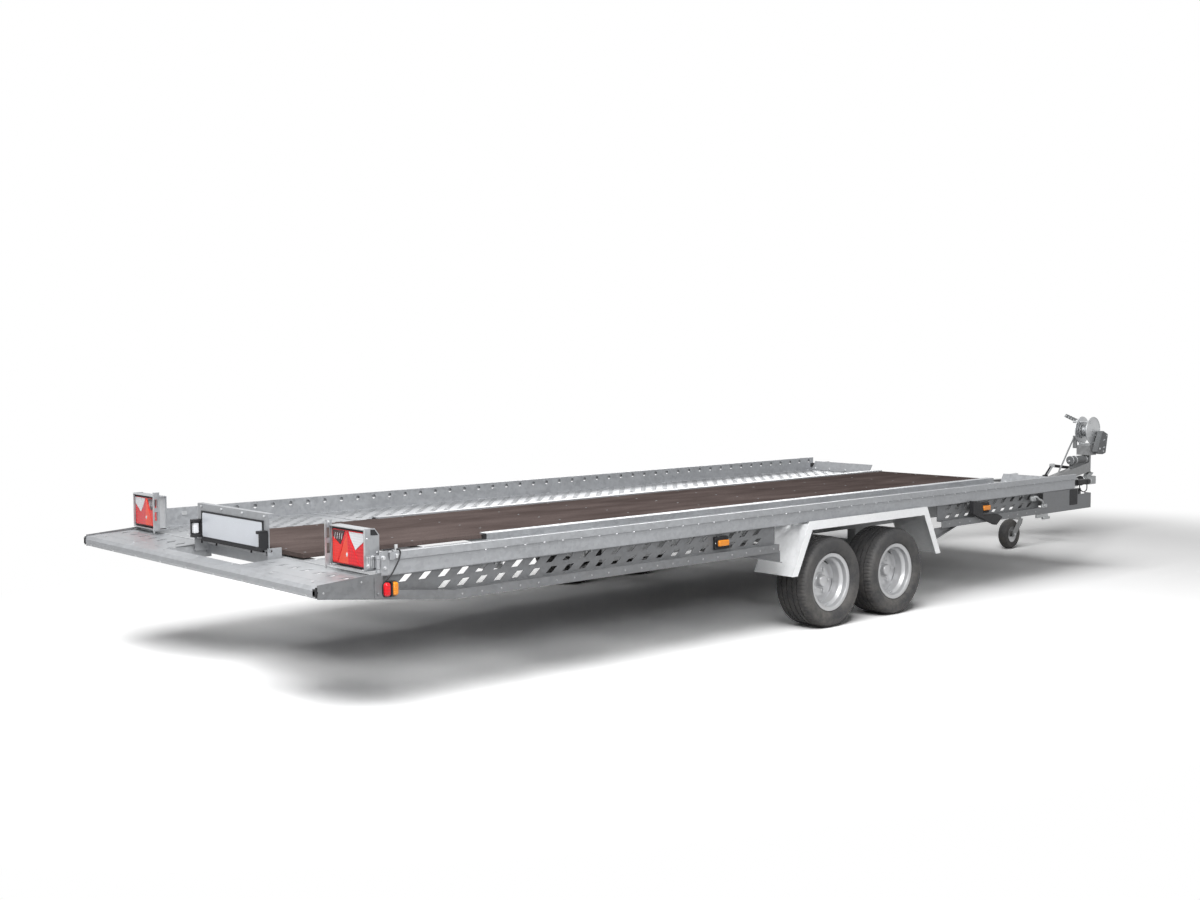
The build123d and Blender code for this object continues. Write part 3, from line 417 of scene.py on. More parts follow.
def pillow(half_a, half_b, corner, low, high, edge, axis="y"):
    """A block with a rounded outline whose far edge is rolled over by a quarter circle."""
    roll = np.linspace(0, TURN / 4, 5)
    sign = 1 if high > low else -1
    levels = [(rounded(half_a, half_b, corner), low)]
    for angle in roll:
        cut = edge * (1 - math.cos(angle))
        ring = rounded(half_a - cut, half_b - cut, max(corner - cut, 0.5))
        levels.append((ring, high - sign * edge * (1 - math.sin(angle))))
    return stack(levels, axis)


def frame_bars(y0, y1, z0, z1, x0, x1, width):
    """A rectangular frame of four bars across X."""
    return joined(
        box(x0, x1, y0, y1, z0, z0 + width), box(x0, x1, y0, y1, z1 - width, z1),
        box(x0, x1, y0, y0 + width, z0 + width, z1 - width),
        box(x0, x1, y1 - width, y1, z0 + width, z1 - width),
    )


# ---------------------------------------------------------------- finishes


COLOUR, NUMBER = "NodeSocketColor", "NodeSocketFloat"
GREY = (0.5, 0.5, 0.5, 1.0)
MESH_WAVES = 760.0


def feed(tree, node, inputs):
    """Sets or links a node's inputs by name or number; returns the node."""
    for key, value in inputs.items():
        if isinstance(value, bpy.types.NodeSocket):
            tree.links.new(value, node.inputs[key])
        else:
            node.inputs[key].default_value = value
    return node


def put(tree, kind, inputs, **settings):
    """Adds a node, sets its options and then its inputs; returns its outputs."""
    node = tree.nodes.new("ShaderNode" + kind)
    for key, value in settings.items():
        setattr(node, key, value)
    return feed(tree, node, inputs).outputs


def math_node(tree, operation, a, b=0.0, clamp=False):
    """One arithmetic step; returns its output."""
    return put(tree, "Math", {0: a, 1: b}, operation=operation, use_clamp=clamp)[0]


def plus(tree, a, b):
    """The sum of two values."""
    return math_node(tree, "ADD", a, b)


def times(tree, a, b):
    """The product of two values."""
    return math_node(tree, "MULTIPLY", a, b)


def varied(tree, value, contrast, middle=0.5):
    """A contrast times how far a value lies from its middle."""
    return times(tree, math_node(tree, "SUBTRACT", value, middle), contrast)


def spread(tree, value, low, high, start=0.0, end=1.0, **settings):
    """A value between start and end taken to low and high."""
    inputs = {"Value": value, "From Min": start, "From Max": end, "To Min": low, "To Max": high}
    return put(tree, "MapRange", inputs, **settings)[0]


def noise(tree, place, scale, detail, roughness=0.5):
    """A noise's value over a place."""
    inputs = {"Vector": place, "Scale": scale, "Detail": detail, "Roughness": roughness}
    return put(tree, "TexNoise", inputs)["Fac"]


def mixed(tree, factor, a, b):
    """Two colours mixed; returns the colour."""
    return put(tree, "Mix", {0: factor, 6: a, 7: b}, data_type="RGBA")[2]


def shaded(tree, colour, level):
    """A colour times a level."""
    return put(tree, "VectorMath", {0: colour, "Scale": level}, operation="SCALE")[0]


def rgba(colour, share=1.0):
    """A share of a colour of three numbers, with full alpha."""
    return (*(share * value for value in colour[:3]), 1.0)


def object_place(tree, scale=(1.0, 1.0, 1.0)):
    """Object coordinates in metres, stretched."""
    return put(tree, "Mapping", {"Vector": put(tree, "TexCoord", {})["Object"], "Scale": scale})[0]


def shared_effect(name, inputs, outputs):
    """An empty node group with named sockets, what it is given and the node of its results."""
    tree = bpy.data.node_groups.new(name, "ShaderNodeTree")
    for label, kind, default in inputs:
        socket = tree.interface.new_socket(label, in_out="INPUT", socket_type=kind)
        socket.default_value = default
    for label, kind in outputs:
        tree.interface.new_socket(label, in_out="OUTPUT", socket_type=kind)
    return tree, tree.nodes.new("NodeGroupInput").outputs, tree.nodes.new("NodeGroupOutput")


def effect(tree, name, inputs):
    """Places a shared effect in a material; returns its outputs."""
    return put(tree, "Group", inputs, node_tree=bpy.data.node_groups[name])


def zinc_effect():
    """Galvanised zinc: crystals of slightly different grey from the cells of a Voronoi pattern,
    clouds a hand wide, and run marks drawn out along the trailer."""
    tree, given, result = shared_effect(
        "Zinc Crystals",
        [("Base", COLOUR, GREY), ("Crystal Contrast", NUMBER, 0.16),
         ("Cloud Contrast", NUMBER, 0.2), ("Crystals per Metre", NUMBER, 70.0)],
        [("Color", COLOUR), ("Roughness", NUMBER), ("Height", NUMBER)],
    )
    place = object_place(tree)
    cells = {"Vector": place, "Scale": given["Crystals per Metre"], "Randomness": 1.0}
    cell = put(tree, "SeparateColor", {0: put(tree, "TexVoronoi", cells)["Color"]})[0]
    runs = noise(tree, object_place(tree, (0.8, 9.0, 7.0)), 3.0, 4.0)
    clouds = plus(tree, noise(tree, place, 5.5, 5.0, 0.6), runs)
    shade = plus(
        tree, varied(tree, cell, given["Crystal Contrast"]),
        varied(tree, clouds, given["Cloud Contrast"], 1.0),
    )
    feed(tree, result, {
        "Color": shaded(tree, given["Base"], plus(tree, shade, 1.0)),
        "Roughness": plus(
            tree, spread(tree, cell, 0.38, 0.54), spread(tree, clouds, -0.07, 0.1, 0.6, 1.4)
        ),
        "Height": plus(tree, times(tree, cell, 0.3), noise(tree, place, 420.0, 2.0)),
    })


def dust_effect():
    """Road dust: heavier near the ground and in the clouds of a noise, mixed over a colour."""
    tree, given, result = shared_effect(
        "Road Dust",
        [("Color", COLOUR, GREY), ("Dust", COLOUR, (0.30, 0.28, 0.25, 1.0)),
         ("Amount", NUMBER, 0.2), ("Reach", NUMBER, 0.5)],
        [("Color", COLOUR), ("Mask", NUMBER)],
    )
    place = object_place(tree)
    height = put(tree, "SeparateXYZ", {0: place})["Z"]
    low = spread(tree, height, 1.0, 0.15, 0.0, given["Reach"])
    patch = spread(tree, noise(tree, place, 14.0, 6.0, 0.7), 0.0, 1.0, 0.38, 0.7)
    mask = times(tree, times(tree, patch, low), given["Amount"])
    feed(tree, result, {"Color": mixed(tree, mask, given["Color"], given["Dust"]), "Mask": mask})


def moulding_effect():
    """Moulded rubber or plastic: a pebbled height and a tone that varies a little."""
    tree, given, result = shared_effect(
        "Moulded Grain",
        [("Base", COLOUR, GREY), ("Grain per Metre", NUMBER, 900.0), ("Tone", NUMBER, 0.2)],
        [("Color", COLOUR), ("Roughness", NUMBER), ("Height", NUMBER)],
    )
    place = object_place(tree)
    pebble = put(tree, "TexVoronoi", {"Vector": place, "Scale": given["Grain per Metre"]})
    cloud = noise(tree, place, 30.0, 5.0)
    level = plus(tree, varied(tree, cloud, given["Tone"]), 1.0)
    feed(tree, result, {
        "Color": shaded(tree, given["Base"], level), "Roughness": spread(tree, cloud, 0.45, 0.68),
        "Height": pebble["Distance"],
    })


def surface(name, **plain):
    """A material with a Principled shader, in place of the frame's plain one of the same name;
    plain values go straight on to its sockets. Returns its node tree and the shader."""
    if name in bpy.data.materials:
        bpy.data.materials.remove(bpy.data.materials[name])
    material = bpy.data.materials.new(name)
    material.use_nodes = True
    shader = material.node_tree.nodes["Principled BSDF"]
    for key, value in plain.items():
        shader.inputs[key.replace("_", " ")].default_value = value
    return material.node_tree, shader


def coated(tree, shader, colour, roughness, height, depth, strength):
    """Feeds the shader a colour, a roughness, and a height in the unit range, depth metres deep."""
    bump = put(tree, "Bump", {"Height": height, "Distance": depth, "Strength": strength})
    feed(tree, shader, {"Base Color": colour, "Roughness": roughness, "Normal": bump[0]})


def zinc(name, base, crystal=0.16, cloud=0.22, crystals=70.0, dust=0.1, metallic=0.5):
    """Galvanised steel."""
    tree, shader = surface(name, Metallic=metallic)
    coat = effect(
        tree, "Zinc Crystals",
        {"Base": rgba(base), "Crystal Contrast": crystal, "Cloud Contrast": cloud,
         "Crystals per Metre": crystals},
    )
    dusty = effect(tree, "Road Dust", {"Color": coat["Color"], "Amount": dust, "Reach": 0.7})
    rough = math_node(tree, "ADD", coat["Roughness"], dusty["Mask"], clamp=True)
    coated(tree, shader, dusty["Color"], rough, coat["Height"], 0.0002, 0.35)


def moulded(name, base, grain, tone, dust):
    """Rubber or plastic with a moulded grain."""
    tree, shader = surface(name, Specular_IOR_Level=0.25)
    skin = effect(
        tree, "Moulded Grain", {"Base": rgba(base), "Grain per Metre": grain, "Tone": tone}
    )
    dusty = effect(tree, "Road Dust", {"Color": skin["Color"], "Amount": dust})
    coated(tree, shader, dusty["Color"], skin["Roughness"], skin["Height"], 0.0003, 0.5)


def plywood(name, base):
    """Film-faced plywood: dark film with a pressed wire mesh, worn lighter in long patches."""
    tree, shader = surface(name, Specular_IOR_Level=0.0)
    place = object_place(tree)
    x, y = put(tree, "SeparateXYZ", {0: place})[:2]
    ways = (plus(tree, x, y), math_node(tree, "SUBTRACT", x, y))
    waves = [math_node(tree, "SINE", times(tree, way, MESH_WAVES)) for way in ways]
    mesh = spread(tree, math_node(tree, "MAXIMUM", *waves), 0.0, 1.0, 0.55, 1.0)
    cloud = noise(tree, object_place(tree, (0.5, 1.6, 1.0)), 3.4, 7.0, 0.62)
    worn = spread(tree, cloud, 0.0, 1.0, 0.35, 0.72)
    pale = [min(1.0, 1.45 * value + 0.012) for value in base]
    film = mixed(tree, worn, rgba(base, 0.86), rgba(pale))
    specks = spread(tree, noise(tree, place, 170.0, 3.0), 0.0, 0.35, 0.4, 0.75)
    rough = plus(tree, spread(tree, cloud, 0.6, 0.75), times(tree, mesh, 0.08))
    coated(tree, shader, mixed(tree, specks, film, rgba(base, 0.55)), rough, mesh, 0.0006, 0.5)


def painted(name, base, change=0.2, roughness=(0.28, 0.42), metallic=0.0, coat=0.0):
    """Sprayed paint or powder coat: fine orange peel and a soft change of tone."""
    tree, shader = surface(name, Metallic=metallic, Coat_Weight=coat)
    place = object_place(tree)
    level = plus(tree, varied(tree, noise(tree, place, 6.0, 5.0), change), 1.0)
    dusty = effect(tree, "Road Dust", {"Color": shaded(tree, base[:3], level), "Amount": 0.14})
    peel = noise(tree, place, 260.0, 2.0)
    coated(tree, shader, dusty["Color"], spread(tree, peel, *roughness), peel, 0.0002, 0.4)


def lens(name, base, ribs, shade):
    """Moulded lamp lens: clear gloss over small prisms, each slightly lighter or darker, with
    painted shade in the grooves between them.
    """
    tree, shader = surface(name, Specular_IOR_Level=0.35, Coat_Weight=0.1, Coat_Roughness=0.05)
    place = object_place(tree)
    waves = [
        math_node(tree, "ABSOLUTE", math_node(tree, "SINE", times(tree, way, ribs)))
        for way in put(tree, "SeparateXYZ", {0: place})[1:]
    ]
    prisms = times(tree, *waves)
    # Painted shade: the colour falls to the dark share of the base in the grooves between the
    # prisms.
    dark = rgba(base, shade)
    patches = spread(tree, noise(tree, place, 24.0, 2.0), 0.0, 0.5)
    colour = mixed(tree, patches, mixed(tree, prisms, dark, rgba(base)), dark)
    coated(tree, shader, colour, plus(tree, times(tree, prisms, 0.1), 0.12), prisms, 0.0012, 0.6)


# ---------------------------------------------------------------- settings


def colour_of(name, description, *default):
    """A colour that the user can change."""
    return bpy.props.FloatVectorProperty(
        name=name, description=description, default=default, min=0, max=1, size=3, subtype="COLOR",
    )


def length_of(name, description, default, low, high):
    """A length in metres that the user can change."""
    return bpy.props.FloatProperty(
        name=name, description=description, default=default, min=low, max=high, unit="LENGTH",
    )


class TrailerColours(bpy.types.PropertyGroup):
    """Colours of the trailer's finishes."""

    zinc: colour_of("Zinc", "Galvanised sheet", 0.325, 0.335, 0.35)
    zinc_frame: colour_of("Frame zinc", "Galvanised beams, ribs and axles", 0.27, 0.275, 0.28)
    guard: colour_of("Mudguard", "New zinc of the mudguards", 0.82, 0.83, 0.84)
    film: colour_of("Deck film", "Film on the plywood", 0.096, 0.074, 0.069)
    rubber: colour_of("Rubber", "Tyres", 0.050, 0.050, 0.052)
    rim: colour_of("Rims", "Silver paint of the rims", 0.47, 0.475, 0.485)
    red: colour_of("Red lens", "Tail lamps", 0.80, 0.006, 0.016)
    amber: colour_of("Amber lens", "Side markers", 0.92, 0.30, 0.015)


class TrailerTread(bpy.types.PropertyGroup):
    """Tread of the road tyres."""

    groove_depth: length_of("Groove depth", "Depth of the grooves", 0.0065, 0, 0.01)
    groove_width: length_of("Groove width", "Width of a groove", 0.0068, 0.002, 0.012)
    zigzag: length_of("Zigzag", "How far the grooves swing to each side", 0.0022, 0, 0.004)
    waves: bpy.props.IntProperty(
        name="Waves", description="Swings of a groove round the tyre", default=72, min=40, max=90,
    )


class TrailerRunway(bpy.types.PropertyGroup):
    """Windows of the runways."""

    pitch: length_of("Pitch", "From window to window along the trailer", 0.090, 0.06, 0.15)
    row: length_of("Row", "From row to row across the trailer", 0.046, 0.03, 0.08)
    length: length_of("Length", "Length of a window", 0.040, 0.01, 0.055)
    width: length_of("Width", "Width of a window", 0.024, 0.01, 0.03)
    lean: length_of("Lean", "Slant of a window's ends", 0.020, 0, 0.04)


class TrailerStudio(bpy.types.PropertyGroup):
    """Camera and light."""

    lens: bpy.props.FloatProperty(
        name="Lens", description="Focal length in millimetres on a 36 mm frame", default=43.0,
        min=20, max=120,
    )
    overhead: bpy.props.FloatProperty(
        name="Overhead light", description="Power of the overhead soft box", default=800.0,
        min=0, max=3000, unit="POWER",
    )
    side: bpy.props.FloatProperty(
        name="Side light", description="Power of the soft box behind the camera", default=900.0,
        min=0, max=3000, unit="POWER",
    )
    ambient: bpy.props.FloatProperty(
        name="Ambient", description="Strength of the even light from all round", default=0.11,
        min=0, max=2,
    )


def mm(value):
    """A length of the settings, in millimetres."""
    return value / MM


def spot(node):
    """Lowest and highest corner of a frame node, in millimetres at stations."""
    low, high = (np.array(corner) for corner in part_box(node))
    return (low - (STATION_ZERO, 0, 0)) / MM, (high - (STATION_ZERO, 0, 0)) / MM


# ---------------------------------------------------------------- finishes on the frame


class TRAILER_OT_finishes(bpy.types.Operator):
    """Makes the finishes and puts them on the frame's own pieces"""

    bl_idname = "trailer.finishes"
    bl_label = "Finishes"

    def execute(self, context):
        colours = context.scene.trailer_colours
        for make in (zinc_effect, dust_effect, moulding_effect):
            make()
        # Half the sheet's zinc for the side webs: painted shade of their recess under the rails'
        # overhang. The deck screws and the mudguard gussets take it too.
        web = rgba(colours.zinc, 0.5)
        for name, colour, settings in (
            ("galvanised_sheet", colours.zinc, {}),
            ("galvanised_steel", colours.zinc_frame,
             {"crystal": 0.2, "cloud": 0.35, "crystals": 55.0, "dust": 0.16}),
            ("mudguard_steel", colours.guard,
             {"crystal": 0.05, "cloud": 0.1, "crystals": 90.0, "metallic": 0.35}),
            ("galvanised_web", web, {"crystal": 0.2, "cloud": 0.3, "dust": 0.2}),
            ("zinc_bright", (0.50, 0.51, 0.52),
             {"crystal": 0.1, "cloud": 0.35, "crystals": 140.0, "metallic": 0.9}),
            ("cast_metal", (0.34, 0.35, 0.355), {"crystal": 0.08, "cloud": 0.4, "crystals": 300.0}),
            ("wire_rope", (0.36, 0.37, 0.38),
             {"crystal": 0.3, "cloud": 0.3, "crystals": 900.0, "metallic": 0.9}),
        ):
            zinc(name, colour, **settings)
        plywood("plywood", colours.film)
        for name, colour, grain, tone, dust in (
            ("tyre_rubber", colours.rubber, 500.0, 0.25, 0.35),
            ("tyre_rubber_small", (0.04, 0.04, 0.042), 500.0, 0.25, 0.3),
            ("black_rubber", (0.022, 0.022, 0.024), 700.0, 0.25, 0.1),
            ("black_plastic", (0.020, 0.020, 0.022), 1400.0, 0.3, 0.06),
            ("grey_plastic", (0.16, 0.165, 0.17), 1200.0, 0.3, 0.1),
        ):
            moulded(name, colour, grain, tone, dust)
        painted("rim_steel", colours.rim, metallic=0.45, roughness=(0.3, 0.42))
        painted("white_plate", (0.63, 0.66, 0.71), change=0.08, roughness=(0.22, 0.3), coat=0.3)
        # The last number is the share of each lens colour left in the grooves between its prisms,
        # painted shade.
        for name, colour, ribs, shade in (
            ("red_lens", colours.red, 260.0, 0.75),
            ("orange_lens", colours.amber, 420.0, 0.75),
            ("white_lens", (0.80, 0.81, 0.84), 330.0, 0.82),
            ("smoke_lens", (0.06, 0.012, 0.014), 330.0, 0.6),
            ("amber_red_lens", (0.86, 0.022, 0.014), 330.0, 0.8),
            ("reflector_lens", (0.95, 0.075, 0.03), 900.0, 0.8),
        ):
            lens(name, colour, ribs, shade)
        for part in frame["record"]["subparts"]:
            node = frame["nodes"][part["node"]]
            slot = part["material_slot"]
            # The side webs get the half-tone zinc, painted shade of their recess.
            if part["node"].startswith("side_web"):
                slot = "galvanised_web"
            node.data.materials.clear()
            node.data.materials.append(bpy.data.materials[slot])
        return {"FINISHED"}


# ---------------------------------------------------------------- wheels


GROOVES = (-46.0, -16.5, 16.5, 46.0)
RIB_HALF = 14.8
SHOULDER_CUT, RIB_CUT = 2.6, 1.4


def tyre_chunk(node, tread, side):
    """A tyre: the profile of sidewalls, ribs and grooves turned about the axle. The lines of each
    groove swing to both sides with the angle as a triangle wave, so the ribs have zigzag edges, and
    once in each wave the shoulder and the ribs' edges are cut back."""
    low, high = spot(node)
    centre, outer, half = (low + high) / 2, (high[2] - low[2]) / 2, (high[1] - low[1]) / 2
    steps = 4 * tread.waves
    wall = smooth_path(
        [(127, 0.790 * half), (143, 0.800 * half), (147, 0.850 * half), (158, 0.930 * half),
         (172, 0.992 * half), (184, 0.998 * half), (198, 0.985 * half), (209, 0.945 * half),
         (217, 0.870 * half), (221.5, 0.78 * half), (223.3, 0.685 * half)], 34,
    )
    for height, at, reach in ((0.9, 160, 1.6), (0.8, 203, 1.5)):
        wall[:, 1] += height * np.exp(-(((wall[:, 0] - at) / reach) ** 2))
    wall[:, 1] = np.minimum(wall[:, 1], half)
    depth, width, swing = mm(tread.groove_depth), mm(tread.groove_width), mm(tread.zigzag)
    offsets, radii, swings = [], [], []
    for middle in GROOVES:
        for step, drop in ((-0.5, 0.0), (-0.34, depth), (0.34, depth), (0.5, 0.0)):
            offsets.append(middle + step * width)
            radii.append(outer - drop)
            swings.append(swing)
        if middle < GROOVES[-1]:
            offsets.append(middle + RIB_HALF)
            radii.append(outer - 0.2)
            swings.append(0.0)
    left = wall[::-1]
    offset = np.concatenate([-wall[:, 1], offsets, left[:, 1]])
    radius = np.concatenate([wall[:, 0], radii, left[:, 0]])
    wave = np.concatenate([np.zeros(len(wall)), swings, np.zeros(len(wall))])
    angle = np.linspace(0, TURN, steps, endpoint=False)[:, None]
    phase = np.array([0.0, 1.0, 0.0, -1.0])[np.arange(steps) % 4][:, None]
    block = (np.arange(steps) % 4 == 1)[:, None]
    away = np.abs(offset)
    shoulder = (away > 0.60 * half) & (away < 0.90 * half) & (radius > outer - 12)
    rib_edge = (wave > 0) & (radius > outer - 1)
    reach = radius - SHOULDER_CUT * (block & shoulder) - RIB_CUT * (block & rib_edge)
    points = turned(reach, side * (offset + wave * phase), angle)
    chunk = grid(points, wrap_u=True, wrap_v=True)
    if side > 0:
        chunk = flipped(chunk)
    return moved(chunk, centre)


def arc_slots(count, radius, width, share, offset, thickness, steps=96, inner=92.0, outer=109.0):
    """A flat ring about Y with arc slots: both faces and the slots' walls. The lines of the grid
    are angles and radii, and a slot is a stretch of angle in which the middle band is left out."""
    angle = np.linspace(0, TURN, steps, endpoint=False)[:, None]
    radii = np.array([[inner, radius - width / 2, radius + width / 2, outer]])
    points = [turned(radii, depth, angle).reshape(-1, 3) for depth in (offset, offset - thickness)]
    here = np.arange(steps)
    after = (here + 1) % steps
    slot = here % (steps // count) < share * (steps // count)
    behind = steps * 4

    def wall(a, line_a, b, line_b):
        """Quads from the edges between two sets of points on the front to the ones behind."""
        first, second = a * 4 + line_a, b * 4 + line_b
        return np.stack([first, second, second + behind, first + behind], -1)

    faces = []
    for band in range(3):
        keep = ~slot if band == 1 else np.ones(steps, bool)
        a, b = here[keep] * 4 + band, after[keep] * 4 + band
        front = np.stack([a, a + 1, b + 1, b], -1)
        faces += [front, front[:, ::-1] + behind]
    a, b = here[slot], after[slot]
    start, end = here[slot & ~np.roll(slot, 1)], after[slot & ~np.roll(slot, -1)]
    faces += [
        wall(a, 1, b, 1), wall(b, 2, a, 2), wall(start, 2, start, 1), wall(end, 1, end, 2),
        wall(after, 0, here, 0), wall(after, 3, here, 3)[:, ::-1],
    ]
    return np.concatenate(points), faces


def rim_chunk(node, side):
    """A rim made for the left: barrel with a rolled lip, drop centre, disc with arc slots and a
    raised bolt face, five wheel bolts, dust cap, valve and the brake drum behind."""
    barrel = lathe(
        96, (142.5, 81.5), (142.5, 78.5), (139.5, 77), (131, 77.3), (127.2, 75), (126.8, 60),
        (124, 56), (113.8, 47), (113, 44), (113, -44), (126.8, -58), (126.8, -77), (142.5, -78),
        (142.5, -81.5), (140, -82), (126, -81), (122.8, -76), (122.8, -57), (109.4, -43),
        (109, -41), (109, 39), (110.5, 43), (119.5, 53), (121.8, 56), (122.6, 60), (122.8, 73),
        (124.5, 77.5), (129, 80.6), (138, 82), (141, 82),
    )
    disc = arc_slots(4, 100.5, 8.0, 0.42, 4.0, 5.0)
    face = lathe(
        72, (93, -1), (93, 4.2), (88, 5.0), (78, 8.6), (72, 9.4), (44, 9.4), (41, 8.4), (36, 5),
        (30, 5), (30, -1),
    )
    cap = lathe(40, (31, 2), (31, 22), (29.5, 29), (26, 33.5), (20, 35.6), (0.01, 36), (0.01, 2))
    edge = lathe(40, (33, 4), (33, 8), (31.5, 9.5), (30, 9.5), (30, 4))
    drum = lathe(
        72, (58, -2), (98, -16), (100, -20), (100, -60), (103, -64), (103, -76), (21, -76),
        (21, -2),
    )
    centres = turned(56.0, 9.4, np.radians(90 + 72 * np.arange(5)))
    wheel_bolts = joined(
        rivets(14.5, 4.0, "y", centres), bolts(10.5, "y", centres + (0, 3.0, 0)),
        repeated(across(washer(4.2, 1.0), "y"), centres + (0, 11.2, 0)),
    )
    valve = tube(smooth_path([(0, 40, -117), (0, 52, -112), (0, 66, -106)], 8), 3.6, 10)
    low, high = spot(node)
    chunk = joined(barrel, disc, face, cap, edge, drum, wheel_bolts, valve)
    return moved(mirrored(chunk, side), (low + high) / 2)


class TRAILER_OT_wheels(bpy.types.Operator):
    """Treaded tyres and detailed rims on the four road wheels"""

    bl_idname = "trailer.wheels"
    bl_label = "Wheels"

    def execute(self, context):
        tread = context.scene.trailer_tread
        for axle in AXLES:
            for name, side in SIDES:
                body = f"wheel_{axle}_{name}"
                tyre, rim = f"tyre_{axle}_{name}", f"rim_{axle}_{name}"
                piece(f"treaded_{tyre}", tyre_chunk(tyre, tread, side), body, "tyre_rubber",
                      replaces=[tyre], crease=28)
                piece(f"pressed_{rim}", rim_chunk(rim, side), body, "rim_steel", replaces=[rim],
                      crease=26)
        return {"FINISHED"}


# ---------------------------------------------------------------- runways


def runway_chunk(node, runway, joint=430.0):
    """One runway for the left: the level sheet with its windows in staggered rows, its fold along
    the inner edge, a cover strip over the joint of the sheets, and the sloping end."""
    low, high = spot(node)
    pitch, row = mm(runway.pitch) / 2, mm(runway.row)
    thick, top, inner, outer = 3.0, high[2], 450.0, 1000.0
    slope_start, slope_end, slope_inner, drop = -500.0, low[0], 330.0, 8.0
    hole = slanted_hole(mm(runway.length), mm(runway.width), mm(runway.lean))

    def sheet(start, end, y0, y1, place):
        count = int((end - start - 30) / pitch)
        count -= count % 2
        margin = (end - start - count * pitch) / 2
        us = np.concatenate([[start], start + margin + pitch * np.arange(count + 1), [end]])
        rows = int((y1 - y0 - 30) / row)
        edge = (y1 - y0 - rows * row) / 2
        vs = np.concatenate([[y0], y0 + edge + row * np.arange(rows + 1), [y1]])
        cells = np.zeros((len(us) - 1, len(vs) - 1), int)
        cells[1:-1, 1:-1] = staggered(count, rows)
        return pierced(us, vs, cells, hole, place, thick)

    def level(u, v, depth):
        return np.stack([u, v, np.full(u.shape, top + depth)], -1)

    def sloping(u, v, depth):
        fall = (slope_start - u) / (slope_start - slope_end) * drop
        return np.stack([u, v, top - fall + depth], -1)

    strip = box(joint - 22, joint + 22, inner + 6, outer - 2, top, top + 2.0)
    fold = joined(
        box(slope_start, high[0], inner, inner + thick, top - 28, top - thick),
        box(slope_end, slope_start + 17, slope_inner, slope_inner + thick, low[2],
            top - drop - thick),
    )
    screws = repeated(
        dome(6.5, 2.4), rows_of((joint - 12, joint + 12), np.linspace(480, 975, 6), (top + 2,))
    )
    return joined(
        sheet(slope_start, joint, inner, outer, level), sheet(joint, high[0], inner, outer, level),
        sheet(slope_end + 1, slope_start, slope_inner, outer, sloping), strip, fold, screws,
    )


class TRAILER_OT_runways(bpy.types.Operator):
    """Pierced runways with their rear slopes"""

    bl_idname = "trailer.runways"
    bl_label = "Runways"

    def execute(self, context):
        for name, side in SIDES:
            chunk = mirrored(runway_chunk("runway_left", context.scene.trailer_runway), side)
            piece(f"pierced_runway_{name}", chunk, "trailer", "galvanised_sheet",
                  replaces=[f"runway_{name}"], crease=20)
        return {"FINISHED"}


# ---------------------------------------------------------------- lamps


# Outlines on a tail lamp's face, in shares of its width and height from its lower inner corner.
LAMP_ZONES = {
    "smoke_lens": [(0.03, 0.97), (0.03, 0.78), (0.26, 0.56), (0.375, 0.88), (0.40, 0.97)],
    "white_lens": [(0.53, 0.97), (0.57, 0.80), (0.72, 0.47), (0.975, 0.75), (0.975, 0.97)],
    "amber_red_lens": [(0.03, 0.75), (0.03, 0.05), (0.17, 0.05), (0.335, 0.60), (0.26, 0.53)],
}
TRIANGLE = [(0.20, 0.035), (0.83, 0.035), (0.47, 0.96)]
EYE = (0.47, 0.30)


